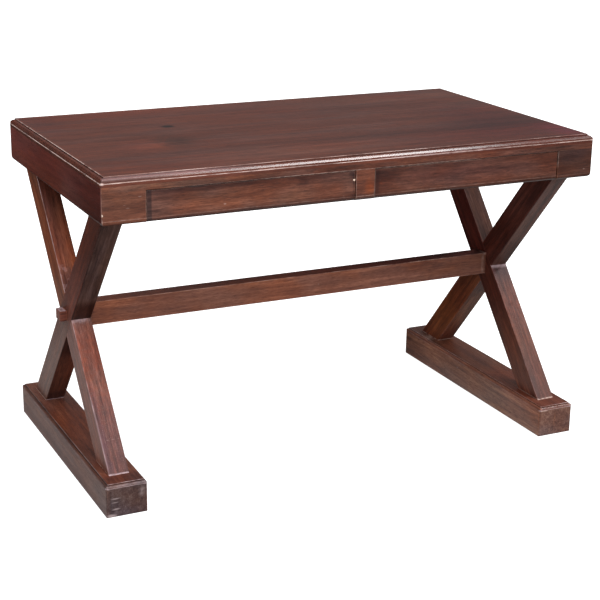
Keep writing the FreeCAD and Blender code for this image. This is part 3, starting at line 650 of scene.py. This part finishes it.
def beam_marks(side, part, B):
    if (side, part) == ("left", "outer"):
        return [
            # painted shade on the outer face near the frieze, lighter further down
            B.on("left", 0.00, 0.20, 0.16, k=(0.86, 0.64, 0.52)),
            B.on("left", 0.20, 0.36, 0.16, k=(1.20, 0.96, 0.94)),
            # painted grey sheen on the under face
            B.on("front", -0.05, 0.30, 0.04, k=(0.82, 1.40, 1.92)),
            B.on("front", 0.18, 0.28, 0.06, k=(0.84, 0.84, 0.88), wob=4.0),
            # painted shadow in the crease above the crossing
            B.on("front", 0.295, 0.37, 0.03, k=(0.32, 0.31, 0.33)),
            B.arris(-0.05, 0.80, fade=0.90),
            # painted shade along the upper arris in place of its highlight, which is also made matt
            B.arris(-0.05, 0.37, k=(0.60, 0.52, 0.50), matt=1.0),
            # painted shade on the under face below the crossing
            B.on("front", 0.36, 0.52, 0.04, k=(0.52, 0.42, 0.36), matt=0.4),
            B.on("front", 0.48, 0.715, 0.06, k=(0.76, 0.54, 0.40), matt=0.5),
            B.on("front", 0.64, 0.76, 0.06, k=(0.80, 0.80, 0.80)),
            B.on("front", 0.700, 0.78, 0.02, k=(0.62, 0.60, 0.66)),
            B.on("front", 0.7340, 0.745, 0.0020, to=LILAC_SMEAR_AND_GLINT, amt=0.80, patchy=(0.26, 0.50)),
            # painted floor light and sheen: the lower outer face lighter and greyer
            B.on("left", 0.40, 0.78, 0.05, k=(1.06, 1.22, 1.20)),
            B.on("left", 0.40, 0.78, 0.05, to=PALE, amt=0.10, speck=640.0),
            B.on("left", 0.70, 0.84, 0.004, lean=(SZ, 0.0806, 0.0778), to=PALE, amt=0.60, patchy=(0.30, 0.52), wob=0.2),
        ]
    if (side, part) == ("left", "inner"):
        return [
            B.on("left", -0.05, 0.37, 0.06, k=(1.76, 1.68, 1.30)),
            # painted shade near the top of the face the table top overhangs, painted light below it
            B.on("front", -0.05, 0.12, 0.08, k=(0.76, 0.56, 0.56)),
            B.on("front", 0.16, 0.36, 0.10, k=(2.15, 1.95, 1.75)),
            B.on("front", 0.10, 0.30, 0.08, lean=(SX, -0.560, -0.580), k=(1.12, 1.16, 1.32)),
            B.on("front", 0.10, 0.30, 0.08, lean=(SX, -0.558, -0.546), k=(1.04, 0.92, 0.76)),
            B.on("front", 0.25, 0.31, 0.04, k=(1.25, 1.20, 1.05), wob=6.0),
            B.on("front", 0.285, 0.355, 0.02, k=(0.80, 0.95, 1.20), patchy=(0.44, 0.52), wob=2.0),
            B.on("front", 0.280, 0.355, 0.02, lean=(SX, -0.560, -0.575), to=LILAC_SMEAR_AND_GLINT, amt=0.22, patchy=(0.52, 0.46), wob=2.0),
            # painted light and sheen on the lower front-up face
            B.on("front", 0.41, 0.62, 0.07, k=(1.98, 2.25, 2.55)),
            B.on("front", 0.40, 0.47, 0.03, k=(1.06, 1.18, 1.25), wob=2.0),
            B.on("front", 0.44, 0.54, 0.07, k=(1.10, 0.92, 0.84), wob=5.0),
            B.on("front", 0.45, 0.70, 0.08, k=(1.12, 0.96, 0.88), patchy=(0.46, 0.60), wob=6.0),
            B.on("front", 0.62, 0.82, 0.10, k=(0.88, 0.84, 1.10)),
            B.on("front", 0.70, 0.79, 0.05, k=(0.86, 0.84, 0.92), patchy=(0.42, 0.58), wob=6.0),
            B.on("front", 0.42, 0.80, 0.02, to=PALE, amt=0.15, speck=640.0),
            B.on("front", 0.58, 0.79, 0.06, lean=(SX, -0.570, -0.578), k=(0.86, 0.88, 1.04)),
            B.on("front", 0.58, 0.79, 0.06, lean=(SX, -0.576, -0.568), k=(1.10, 1.04, 0.92)),
            B.arris(0.62, 0.785, to=LILAC_SMEAR_AND_GLINT, amt=0.20),
            # painted floor light and sheen: the lower outer face lighter and greyer
            B.on("left", 0.41, 0.82, 0.04, k=(1.66, 1.66, 1.62)),
            B.on("left", 0.40, 0.56, 0.08, k=(1.04, 1.08, 1.16)),
            B.on("left", 0.41, 0.82, 0.04, to=PALE, amt=0.12, speck=640.0),
            B.on("front", 0.4175, 0.428, 0.012, to=LILAC_SMEAR_AND_GLINT, amt=0.42, patchy=(0.30, 0.62), wob=0.6),
            B.on("front", 0.7930, 0.800, 0.0030, to=LILAC_SMEAR_AND_GLINT, amt=0.60, patchy=(0.30, 0.60), wob=0.3),
            B.on("left", 0.70, 0.84, 0.004, lean=(SZ, 0.0806, 0.0778), to=PALE, amt=0.35, patchy=(0.34, 0.56), wob=0.2),
            B.on("front", 0.7140, 0.7152, 0.0010, lean=(SX, -0.5835, -0.5800), to=PALE, amt=0.18, patchy=(0.50, 0.58)),
        ]
    if (side, part) == ("right", "outer"):
        return [
            # painted shade along the upper arris, which is also made matt
            B.arris(-0.05, 0.37, k=(0.70, 0.60, 0.58), matt=1.0, fade=0.9),
            # painted shade on the inner face under the table
            B.on("left", -0.05, 0.22, 0.10, k=(1.02, 0.80, 0.82)),
            B.on("left", 0.20, 0.40, 0.10, k=(0.72, 0.46, 0.42)),
            # painted sheen on the under face near the frieze
            B.on("front", -0.05, 0.16, 0.08, k=(1.08, 1.22, 1.34)),
            # painted shade on the under face towards the crossing
            B.on("front", 0.14, 0.28, 0.10, k=(0.80, 0.74, 0.66)),
            B.on("front", 0.26, 0.37, 0.06, k=(0.60, 0.58, 0.56), matt=0.3),
            B.on("left", 0.40, 0.78, 0.05, k=(1.25, 1.00, 0.58)),
            B.on("left", 0.60, 0.73, 0.10, k=(1.28, 1.45, 1.20), wob=5.0),
            B.on("front", 0.42, 0.50, 0.04, k=(0.72, 0.78, 0.85)),
            B.on("front", 0.50, 0.66, 0.08, k=(1.20, 1.45, 1.30), wob=5.0),
            B.on("front", 0.48, 0.62, 0.04, to=srgb(150, 150, 120), amt=0.20, speck=420.0),
            B.on("front", 0.7340, 0.745, 0.0020, to=PALE, amt=0.75, patchy=(0.28, 0.52)),
            B.on("left", 0.70, 0.84, 0.004, lean=(SZ, 0.0806, 0.0778), to=PALE, amt=0.45, patchy=(0.34, 0.56), wob=0.2),
        ]
    return [
        # painted shade on the inner face under the table
        B.on("left", -0.05, 0.40, 0.10, k=(0.88, 0.42, 0.36)),
        # painted shade on the front-up face under the table top, which is also made matt
        B.on("front", 0.12, 0.36, 0.06, k=(0.66, 0.84, 0.98), matt=0.75),
        B.on("front", 0.40, 0.46, 0.05, k=(0.55, 0.56, 0.78)),
        B.on("front", 0.50, 0.58, 0.08, k=(1.12, 1.04, 1.08)),
        # painted shade on the lower inner face near the crossing
        B.on("left", 0.42, 0.54, 0.12, k=(0.88, 0.60, 0.52)),
        # painted floor light: the lowest part of the inner face lighter
        B.on("left", 0.58, 0.82, 0.12, k=(1.45, 1.35, 1.15)),
        B.on("front", 0.4175, 0.427, 0.010, to=LILAC_SMEAR_AND_GLINT, amt=0.40, patchy=(0.28, 0.58), wob=0.6),
        B.on("front", 0.41, 0.50, 0.05, k=(0.92, 0.96, 1.12)),
        B.on("front", 0.52, 0.66, 0.06, k=(1.10, 0.98, 0.88), patchy=(0.44, 0.60), wob=6.0),
        B.on("front", 0.68, 0.82, 0.08, k=(0.90, 0.88, 0.94)),
        B.on("front", 0.42, 0.80, 0.02, to=PALE, amt=0.11, speck=640.0),
        B.on("front", 0.7925, 0.800, 0.0030, to=PALE, amt=0.65, patchy=(0.34, 0.60), wob=0.3),
        B.on("left", 0.70, 0.84, 0.004, lean=(SZ, 0.0806, 0.0778), to=PALE, amt=0.35, patchy=(0.34, 0.56), wob=0.2),
    ]


FOOT_TOP, FOOT_FRONT = (SZ, 0.0762, 0.0768), (SY, -0.3376, -0.3383)
GREY = srgb(178, 160, 158)
FOOT_MARKS = {
    "left": [
        dict(zone=[FOOT_TOP], k=(1.28, 1.12, 1.04)),
        dict(zone=[FOOT_TOP, (SY, 0.14, 0.06), (SY, -0.12, -0.04)], k=(1.12, 1.0, 0.84), wob=3.0),
        # painted floor light and sheen: the outer side lighter and bluish grey
        dict(zone=[(SX, -0.6082, -0.6090)], k=(1.00, 1.17, 1.34)),
        dict(zone=[(SX, -0.6010, -0.6040), (SZ, 0.0690, 0.0698)], k=(0.74, 0.68, 0.66)),
        dict(zone=[(SX, -0.6082, -0.6090), (SZ, 0.0640, 0.0700)], k=(0.84, 0.78, 0.76)),
        dict(zone=[(SX, -0.6082, -0.6090), (SZ, 0.055, 0.030)], to=GREY, amt=0.10, wob=2.0),
        dict(zone=[(SX, -0.6082, -0.6090), (SY, -0.22, -0.30)], k=(0.94, 1.06, 1.16)),
        # painted highlight: lilac glint lines on the front end's moulding
        dict(zone=[(SY, -0.3326, -0.3330), (SZ, 0.0676, 0.0686), (SZ, 0.0744, 0.0738)], to=LILAC_SMEAR_AND_GLINT, amt=0.17, patchy=(0.10, 0.75)),
        dict(zone=[(SZ, 0.0690, 0.0698), (SY, -0.285, -0.300)], k=(0.74, 0.84, 0.98)),
        dict(zone=[FOOT_FRONT, (SZ, 0.030, 0.006)], k=(1.14, 1.24, 1.36), wob=2.0),
        dict(zone=[(SX, -0.6082, -0.6090), (SZ, 0.022, 0.004)], to=GREY, amt=0.10, wob=2.0),
        dict(zone=[(SX, -0.6082, -0.6090)], to=PALE, amt=0.10, speck=640.0),
        dict(zone=[FOOT_TOP, (SY, -0.270, -0.290)], k=(0.82, 0.72, 0.70)),
        dict(zone=[FOOT_FRONT], k=(0.66, 1.02, 1.46)),
        dict(zone=[(SY, -0.3340, -0.3352), (SX, -0.6045, -0.6062), (SZ, 0.0690, 0.0670)], k=(1.0, 1.0, 1.0), fade=0.85, wob=0.2),
        dict(zone=[(SY, -0.3352, -0.3362), (SY, -0.3384, -0.3378), (SX, -0.6062, -0.6072), (SX, -0.6091, -0.6084),
                   (SZ, 0.0690, 0.0670)], k=(0.64, 0.90, 1.16), wob=0.0),
        dict(zone=[FOOT_FRONT, (SX, -0.5990, -0.6005), (SZ, 0.0660, 0.0640)], k=(1.04, 0.90, 0.80), wob=0.3),
        dict(zone=[FOOT_FRONT, (SX, -0.5960, -0.5985), (SX, -0.6015, -0.5995), (SZ, 0.0640, 0.0600)], k=(0.80, 0.78, 0.78), wob=0.4),
        dict(zone=[(SY, -0.3326, -0.3330), (SZ, 0.0676, 0.0686)], k=(0.94, 1.0, 1.08)),
        dict(zone=[(SY, -0.3326, -0.3330), (SZ, 0.0676, 0.0686), (SX, -0.5440, -0.5340)], k=(0.66, 0.66, 0.70), fade=0.6),
        on_foot("left", -0.0263, 0.0438, 0.0085, 0.0014, to=GREY, amt=0.40, soft=0.6, wob=0.3),
        on_foot("left", -0.0280, 0.0346, 0.0070, 0.0013, to=GREY, amt=0.32, soft=0.6, wob=0.3),
        on_foot("left", -0.0255, 0.0188, 0.0080, 0.0015, to=GREY, amt=0.52, soft=0.6, wob=0.3),
        on_foot("left", -0.036, 0.004, 0.010, 0.0036, to=GREY, amt=0.62, soft=0.6, wob=0.4),
        on_foot("left", 0.0345, 0.050, 0.0060, 0.0105, to=GREY, amt=0.36, soft=0.8, wob=1.2, broken=0.44),
        on_foot("left", -0.024, 0.0392, 0.010, 0.0014, k=(0.74, 0.74, 0.74), soft=0.5, wob=0.3),
        on_foot("left", -0.034, 0.036, 0.024, 0.0160, k=(0.82, 0.86, 0.90), soft=0.8, wob=1.0),
        on_foot("left", -0.024, 0.0145, 0.010, 0.0014, k=(0.74, 0.74, 0.74), soft=0.5, wob=0.3),
    ],
    "right": [
        dict(zone=[FOOT_TOP], k=(0.80, 0.74, 0.68)),
        dict(zone=[FOOT_TOP, (SY, -0.02, -0.10)], k=(1.30, 1.05, 1.0)),
        dict(zone=[(SX, 0.5212, 0.5202), (SZ, 0.0688, 0.0698)], k=(1.70, 1.75, 1.75)),
        dict(zone=[(SX, 0.5152, 0.5144), (SZ, 0.048, 0.066), (SY, 0.30, 0.20)], k=(1.22, 1.24, 1.22)),
        dict(zone=[(SX, 0.5152, 0.5144), (SY, 0.24, 0.32)], k=(0.80, 0.80, 0.80)),
        dict(zone=[(SZ, 0.0690, 0.0698), (SY, 0.25, 0.30)], k=(0.62, 0.62, 0.62)),
        dict(zone=[(SX, 0.5152, 0.5144), (SY, -0.13, -0.18), (SZ, 0.030, 0.060)], k=(1.22, 1.20, 1.20)),
        dict(zone=[(SX, 0.5152, 0.5144), (SY, 0.24, 0.21), (SY, 0.12, 0.16)], k=(1.16, 1.16, 1.16)),
        # painted floor light and sheen: the inner side lighter and greyer
        dict(zone=[(SX, 0.5152, 0.5144)], k=(1.64, 1.86, 1.84)),
        dict(zone=[(SX, 0.5152, 0.5144)], to=PALE, amt=0.10, speck=640.0),
        dict(zone=[(SX, 0.5152, 0.5144), (SY, -0.14, -0.22)], k=(1.22, 1.16, 1.12)),
        # painted highlight: lilac glint lines on the front end's moulding
        dict(zone=[(SY, -0.3326, -0.3330), (SZ, 0.0676, 0.0686), (SZ, 0.0744, 0.0738)], to=LILAC_SMEAR_AND_GLINT, amt=0.12, patchy=(0.10, 0.80)),
        dict(zone=[FOOT_FRONT], k=(1.22, 1.66, 2.00)),
        on_foot("right", -0.034, 0.0672, 0.009, 0.0014, to=PALE, amt=0.45, soft=0.5, wob=0.2),
        on_foot("right", -0.003, 0.038, 0.0030, 0.0200, k=(1.16, 1.10, 0.98), soft=0.8, wob=0.4),
        dict(zone=[(SY, -0.3352, -0.3362), (SY, -0.3384, -0.3378), (SX, 0.5172, 0.5162), (SX, 0.5143, 0.5150),
                   (SZ, 0.0690, 0.0670)], k=(1.20, 1.50, 1.66), wob=0.0),
        on_foot("right", 0.012, 0.020, 0.026, 0.0060, k=(0.86, 0.84, 0.86), soft=0.9, wob=1.0),
        dict(c=(0.530, 0.2350, 0.077), r=(0.012, 0.018, 0.004), to=PALE, amt=0.30, soft=0.6, wob=0.5, broken=0.46),
    ],
}
for side, sx in (("left", -1), ("right", 1)):
    dress("foot_" + side, wood("foot_%s_finish" % side, turn=(0, 0, R90), shift=(1.3 * sx, 0.6, 0.2), tone="foot",
                               wear=0.38, grey=0.3, extra=foot_extra(sx * FOOT_CX), marks=FOOT_MARKS.get(side, ())))
    for part in ("outer", "inner"):
        B = Beam(side, part)
        sg = 1 if part == "outer" else -1
        ang = math.atan2(B.d.z, B.d.y)                       # about X, from +Y
        # first the beam's axis onto +Y (about X), then onto +X (about Z)
        rot = (Matrix.Rotation(-R90, 3, "Z") @ Matrix.Rotation(-ang, 3, "X")).to_euler("XYZ")
        xc = (B.x0 + B.x1) / 2
        dress("beam_%s_%s" % (side, part), wood(
            "beam_%s_%s_finish" % (side, part), turn=rot, shift=(5.7 * sx + 2.1 * sg, 0.3 * sg, 0.4 * sx),
            slabs=[(SX, xc, (B.x1 - B.x0) / 2), (B.f, B.f.dot(B.p0), B.half)], ease=0.002, tone="beam", wear=0.8, grey=0.3,
            stretch=1.4, contrast=1.0, extra=beam_extra(xc, 0.1 if part == "outer" else 1.0 if side == "left" else 0.25, 0.1),
            marks=beam_marks(side, part, B)))
lo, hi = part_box("stretcher")
STRETCHER_MARKS = [
    # painted shade: the right end darker
    dict(zone=[(SX, 0.22, 0.50)], k=(0.62, 0.70, 0.80)),
    dict(zone=[(SY, -0.0190, -0.0198)], k=(1.02, 1.18, 1.20)),
    # painted shadow: the top face under the table top, which is also made matt
    dict(zone=[(SZ, 0.3885, 0.3903), (SX, -0.58, 0.45)], k=(0.36, 0.12, 0.08), matt=0.8),
    dict(zone=[(SX, -0.38, -0.50)], k=(1.24, 1.26, 1.20)),
    dict(zone=[(SX, -0.34, -0.26), (SX, -0.06, -0.14)], k=(0.88, 0.88, 0.88)),
    dict(zone=[(SZ, 0.3740, 0.3748), (SX, -0.5875, -0.5895)], to=LILAC_SMEAR_AND_GLINT, amt=0.62, patchy=(0.22, 0.50)),
    dict(c=(-0.5955, 0.000, 0.375), r=(0.0030, 0.006, 0.003), to=srgb(74, 40, 34), amt=0.6, soft=0.5, wob=0.2),
    dict(zone=[(SX, -0.5865, -0.5885)], k=(0.72, 0.62, 0.64)),
    dict(c=(0.5300, -0.020, 0.365), r=(0.0040, 0.006, 0.028), to=PALE, amt=0.14, box=True, soft=0.4, broken=0.52, wob=0.2),
    dict(c=(0.5350, -0.010, 0.391), r=(0.0050, 0.012, 0.005), to=PALE, amt=0.20, box=True, soft=0.4, broken=0.50, wob=0.2),
]
dress("stretcher", wood("stretcher_finish", shift=(8.4, 0.2, 0.1), marks=STRETCHER_MARKS, gain=1.26, slabs=[
    (SX, 0, hi[0]), (SY, 0, 0.020), (SZ, (lo[2] + hi[2]) / 2, (hi[2] - lo[2]) / 2)], ease=0.002, tone="stretcher", wear=0.5,
    contrast=0.7, grey=0.2))

# drawers
DL = [
    # painted shadow: dark strip down the recessed left end of the drawer front
    on_front(-0.5020, 0.694, 0.0055, 0.036, k=PAINTED_SHADOW_BLUE, box=True, soft=0.35, wob=0.15),
    # painted shadow: dark band under the top rail
    on_front(-0.330, 0.7215, 0.185, 0.0055, k=(0.70, 0.66, 0.70), box=True, soft=0.7, wob=0.5),
    on_front(-0.460, 0.7150, 0.045, 0.010, k=(0.76, 0.76, 0.82), soft=0.8, wob=0.8),
    on_front(-0.150, 0.7120, 0.011, 0.010, k=(0.62, 0.60, 0.66), soft=0.8, wob=0.8),
    # more painted shadow under the top rail
    on_front(-0.130, 0.7200, 0.060, 0.005, k=(0.76, 0.74, 0.78), soft=0.9, wob=0.6),
    on_front(-0.290, 0.7200, 0.030, 0.006, k=(0.74, 0.74, 0.80), soft=0.9, wob=0.6),
    on_front(-0.0330, 0.7190, 0.0080, 0.006, k=(0.50, 0.47, 0.52), soft=0.6, wob=0.4),
    on_front(-0.0290, 0.690, 0.0020, 0.030, k=(0.50, 0.48, 0.52), box=True, soft=0.5, wob=0.25, broken=0.40),
    on_front(-0.0266, 0.7058, 0.0034, 0.0021, to=CHIP, soft=0.3, wob=0.15),
    on_front(-0.3330, 0.6810, 0.0028, 0.0016, to=PALE, amt=0.26, soft=0.5, wob=0.2),
    on_front(-0.270, 0.685, 0.200, 0.014, k=(1.40, 1.42, 1.32), soft=0.9, wob=1.0),
    on_front(-0.470, 0.690, 0.040, 0.030, k=(1.14, 1.12, 1.12), soft=0.9, wob=1.0),
    on_front(-0.350, 0.708, 0.050, 0.010, k=(0.84, 0.93, 1.0), soft=0.9, wob=1.0),
    on_front(-0.110, 0.700, 0.080, 0.030, k=(0.84, 0.76, 0.72), soft=0.9, wob=1.0),
]
# painted shadow: dark strip down the left end and into the top-left corner of the drawer front
DR = [
    on_front(0.0290, 0.694, 0.0060, 0.036, k=(0.62, 0.60, 0.66), box=True, soft=0.7, wob=0.3),
    on_front(0.0500, 0.7120, 0.034, 0.014, k=(0.56, 0.52, 0.56), soft=0.7, wob=1.2),
    on_front(0.0420, 0.6900, 0.022, 0.020, k=(0.80, 0.76, 0.80), soft=0.8, wob=1.2),
    line_z(0.0245, 0.668, 0.722, 0.0007, 0.26), line_z(0.5072, 0.664, 0.724, 0.0007, 0.12),
    line_x(0.060, 0.300, 0.7250, 0.0005, 0.16),
    on_front(0.2900, 0.690, 0.14, 0.016, k=(1.0, 1.08, 1.22), soft=0.9, wob=1.0),
    # painted shadow: dark band under the top rail
    on_front(0.2500, 0.7210, 0.22, 0.0050, k=(0.78, 0.72, 0.74), box=True, soft=0.9, wob=0.5),
    on_front(0.2600, 0.6830, 0.20, 0.0120, k=(1.22, 1.16, 1.16), soft=0.9, wob=1.0),
    on_front(0.2600, 0.7060, 0.24, 0.0110, k=(0.94, 0.82, 0.80), box=True, soft=0.9, wob=0.5),
    on_front(0.2100, 0.7050, 0.120, 0.014, k=(0.82, 0.80, 0.86), soft=0.9, wob=1.0),
    on_front(0.4900, 0.695, 0.020, 0.03, k=(0.90, 0.86, 0.84), soft=0.9, wob=1.0),
    on_front(0.0400, 0.692, 0.0030, 0.0040, k=(1.25, 1.08, 0.92), soft=0.8, wob=0.4),
]
for side, sx, mk in (("left", -1, DL), ("right", 1, DR)):
    lo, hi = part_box("drawer_%s_front" % side)
    x0, x1 = lo[0], hi[0]
    dress("drawer_%s_front" % side, wood("drawer_%s_front_finish" % side, shift=(2.2 * sx, 0.8, 0.5), slabs=[
        (SX, (x0 + x1) / 2, (x1 - x0) / 2), (SY, -0.339, 0.010)], ease=0.0013, tone="front", wear=0.2,
        contrast=0.88 if sx < 0 else 0.80, grey=0.5 if sx < 0 else 0.3, gain=1.10 if sx < 0 else 0.86, marks=mk + case_low(x0, x1, 0.15)))


# ------------------------------------------------------------------ plain inner wood, drawer bottoms, steel
def plain_wood(name, turn, base, shift):
    m = bpy.data.materials.new(name)
    m.use_nodes = True
    t = m.node_tree
    t.nodes.clear()
    G = Graph(t)
    mp = G.new("ShaderNodeMapping", vector_type="POINT")
    G.put(mp.inputs["Vector"], G.new("ShaderNodeTexCoord").outputs["Object"])
    mp.inputs["Rotation"].default_value = turn
    mp.inputs["Location"].default_value = shift
    p = mp.outputs[0]
    wob = G.vec("SUBTRACT", G.noise(G.scale(p, (2.5, 8, 8)), out=1), (0.5, 0.5, 0.5))
    q = G.vec("ADD", p, G.scale(wob, (0.0, 0.02, 0.02)))
    ring = G.noise(G.scale(q, (1.5, 60, 60)), detail=3, rough=0.6)
    fine = G.noise(G.scale(q, (12, 520, 520)), detail=2, rough=0.6)
    t_ = G.add(G.mul(ring, 0.65), G.mul(fine, 0.35))
    c = G.colours(t_, [(0.32, tuple(v * 0.68 for v in base)), (0.5, base), (0.68, tuple(min(1, v * 1.22) for v in base))])
    dirt = G.noise(G.scale(p, (7, 7, 7)), detail=3)
    c = G.mix(G.mul(G.ramp(dirt, 0.45, 0.75), 0.35), c, rgba(tuple(v * 0.55 for v in base)))
    bs = G.new("ShaderNodeBsdfPrincipled")
    G.put(bs.inputs["Base Color"], c)
    G.put(bs.inputs["Roughness"], G.add(0.66, G.mul(G.sub(fine, 0.5), 0.2)))
    bp = G.new("ShaderNodeBump")
    bp.inputs["Strength"].default_value = 0.3
    bp.inputs["Distance"].default_value = 0.0004
    G.put(bp.inputs["Height"], t_)
    G.put(bs.inputs["Normal"], bp.outputs[0])
    G.put(G.new("ShaderNodeOutputMaterial").inputs["Surface"], bs.outputs[0])
    return m


PINE = srgb(178, 140, 100)
PLY = srgb(186, 150, 112)
along_y = (0, 0, R90)
inner_y = plain_wood("inner_wood_lengthwise", along_y, PINE, (0, 0, 0))
inner_x = plain_wood("inner_wood_crosswise", (0, 0, 0), PINE, (3, 1, 2))
ply = plain_wood("drawer_bottom_finish", (0, 0, 0), PLY, (1, 5, 2))
for n in ("bearer_left", "bearer_right", "runner_left", "runner_right", "runner_centre", "kicker_left", "kicker_right",
          "kicker_centre", "drawer_stops"):
    dress(n, inner_y)
for side in ("left", "right"):
    dress("drawer_%s_side_outer" % side, inner_y)
    dress("drawer_%s_side_inner" % side, inner_y)
    dress("drawer_%s_back" % side, inner_x)
    dress("drawer_%s_bottom" % side, ply)


def steel():
    m = bpy.data.materials.new("screw_steel")
    m.use_nodes = True
    t = m.node_tree
    t.nodes.clear()
    G = Graph(t)
    p = G.new("ShaderNodeTexCoord").outputs["Object"]
    n = G.noise(p, scale=900.0, detail=3)
    c = G.colours(n, [(0.3, (0.22, 0.21, 0.20)), (0.6, (0.45, 0.44, 0.43)), (0.8, (0.30, 0.22, 0.16))])
    bs = G.new("ShaderNodeBsdfPrincipled")
    G.put(bs.inputs["Base Color"], c)
    bs.inputs["Metallic"].default_value = 1.0
    G.put(bs.inputs["Roughness"], G.ramp(n, 0.3, 0.7, 0.3, 0.55))
    G.put(G.new("ShaderNodeOutputMaterial").inputs["Surface"], bs.outputs[0])
    return m


st = steel()
for n in ("long_screws", "short_screws", "drawer_left_screws", "drawer_right_screws"):
    dress(n, st)


# ------------------------------------------------------------------ floor and light
STRIP = 6.8
CARD = (1.0, 0.75, 1.0, 0.9)        # brightness of the mirrored floor: left, right, below, in front


def stage():
    me = bpy.data.meshes.new("floor")
    s = 40.0
    me.from_pydata([(-s, -s, -0.0004), (s, -s, -0.0004), (s, s, -0.0004), (-s, s, -0.0004)], [], [(0, 1, 2, 3)])
    ob = bpy.data.objects.new("floor", me)
    scene.collection.objects.link(ob)
    m = bpy.data.materials.new("pale_floor")
    m.use_nodes = True
    b = m.node_tree.nodes["Principled BSDF"]
    b.inputs["Base Color"].default_value = (0.50, 0.50, 0.50, 1)
    b.inputs["Roughness"].default_value = 0.9
    b.inputs["Specular IOR Level"].default_value = 0.0
    b.inputs["Emission Color"].default_value = (1.0, 1.0, 1.0, 1)
    b.inputs["Emission Strength"].default_value = 0.95
    me.materials.append(m)

    # the table is lit and mirrored by the studio round it, the floor only carries the shadow
    ob.visible_glossy = False
    ob.visible_diffuse = False

    # what the polished faces mirror of the white paper beside the table: bright left and right, dim below it
    cm = bpy.data.meshes.new("floor_mirror")
    cm.from_pydata([(-3, -3, 0), (3, -3, 0), (3, 3, 0), (-3, 3, 0)], [], [(0, 1, 2, 3)])
    card = bpy.data.objects.new("floor_mirror", cm)
    card.location = (0, 0, -0.002)
    scene.collection.objects.link(card)
    m = bpy.data.materials.new("floor_mirror_white")
    m.use_nodes = True
    t = m.node_tree
    t.nodes.clear()
    G = Graph(t)
    p = G.new("ShaderNodeTexCoord").outputs["Object"]
    x, y, z = G.xyz(p)
    left = G.mul(G.mul(G.ramp(x, -0.56, -0.72), G.ramp(x, -2.2, -1.3)), G.mul(G.ramp(y, 1.24, 0.80), G.ramp(y, -1.2, -0.6)))
    right = G.mul(G.ramp(x, 0.57, 0.86), G.ramp(G.vec("DISTANCE", p, (0.75, 0.0, 0.0), out=1), 0.85, 0.35))
    mid = G.mul(G.mul(G.ramp(x, -0.05, 0.40), G.ramp(x, 0.62, 0.56)), G.mul(G.ramp(y, 0.62, -0.15), G.ramp(y, -1.0, -0.6)))
    front = G.mul(G.ramp(y, -0.36, -0.46), G.ramp(G.vec("DISTANCE", p, (0.0, -0.5, 0.0), out=1), 1.1, 0.6))
    k = G.mx(G.mx(G.mul(left, CARD[0]), G.mul(right, CARD[1])), G.mx(G.mul(mid, CARD[2]), G.mul(front, CARD[3])))
    em = G.new("ShaderNodeEmission")
    em.inputs["Color"].default_value = (1.0, 0.99, 0.98, 1)
    G.put(em.inputs["Strength"], k)
    G.put(G.new("ShaderNodeOutputMaterial").inputs["Surface"], em.outputs[0])
    cm.materials.append(m)
    card.visible_camera = False
    card.visible_diffuse = False
    card.visible_shadow = False
    card.visible_transmission = False

    # long strip of light above the table, which the mouldings mirror as a thin line
    sm = bpy.data.meshes.new("strip_light")
    sm.from_pydata([(-1.7, -0.11, 0), (-1.7, 0.11, 0), (1.7, 0.11, 0), (1.7, -0.11, 0)], [], [(0, 1, 2, 3)])
    strip = bpy.data.objects.new("strip_light", sm)
    strip.location = (1.2, -0.45, 3.2)
    scene.collection.objects.link(strip)
    m = bpy.data.materials.new("strip_white")
    m.use_nodes = True
    t = m.node_tree
    t.nodes.clear()
    G = Graph(t)
    x, y, z = G.xyz(G.new("ShaderNodeTexCoord").outputs["Object"])
    em = G.new("ShaderNodeEmission")
    em.inputs["Color"].default_value = (1.0, 0.98, 0.96, 1)
    k = G.mul(G.ramp(x, -0.66, -0.22, 1.0, 0.18), G.ramp(x, 0.60, 0.35))
    G.put(em.inputs["Strength"], G.mul(G.mul(G.ramp(x, -1.7, -1.5), k), STRIP))
    G.put(G.new("ShaderNodeOutputMaterial").inputs["Surface"], em.outputs[0])
    sm.materials.append(m)
    for a in ("visible_camera", "visible_diffuse", "visible_shadow", "visible_transmission"):
        setattr(strip, a, False)

    w = bpy.data.worlds.new("studio")
    scene.world = w
    w.use_nodes = True
    t = w.node_tree
    t.nodes.clear()
    G = Graph(t)
    d = G.new("ShaderNodeTexCoord").outputs["Generated"]
    x, y, z = G.xyz(d)

    def lobe(v, c0, amount):
        return G.ramp(G.dot(d, Vector(v).normalized()), c0, 1.0, 0.0, amount)

    v = G.add(0.06, G.ramp(z, 0.25, 1.0, 0.0, 0.80))
    for spec in (((-0.75, -0.55, 0.42), 0.0, 0.75), ((0.10, -0.90, 0.25), 0.1, 0.30), ((-0.25, -0.70, -0.65), 0.2, 0.16),
                 ((0.80, 0.35, 0.45), 0.2, 0.12)):
        v = G.add(v, lobe(*spec))
    bg = G.new("ShaderNodeBackground")
    G.put(bg.inputs["Color"], G.join(v, v, G.mul(v, 1.02)))
    bg.inputs["Strength"].default_value = 1.0
    G.put(G.new("ShaderNodeOutputWorld").inputs["Surface"], bg.outputs[0])

    def soft(name, towards, strength, angle, colour=(1, 1, 1)):
        l = bpy.data.lights.new(name, "SUN")
        l.energy = strength
        l.angle = math.radians(angle)
        l.color = colour
        ob = bpy.data.objects.new(name, l)
        ob.rotation_mode = "QUATERNION"
        ob.rotation_quaternion = (-Vector(towards)).to_track_quat("-Z", "Y")
        ob.location = Vector(towards).normalized() * 5
        scene.collection.objects.link(ob)

    soft("key_front", (0.20, -0.84, 0.50), 1.4, 34)
    soft("key_top", (0.477, -0.338, 0.811), 1.2, 11)


stage()
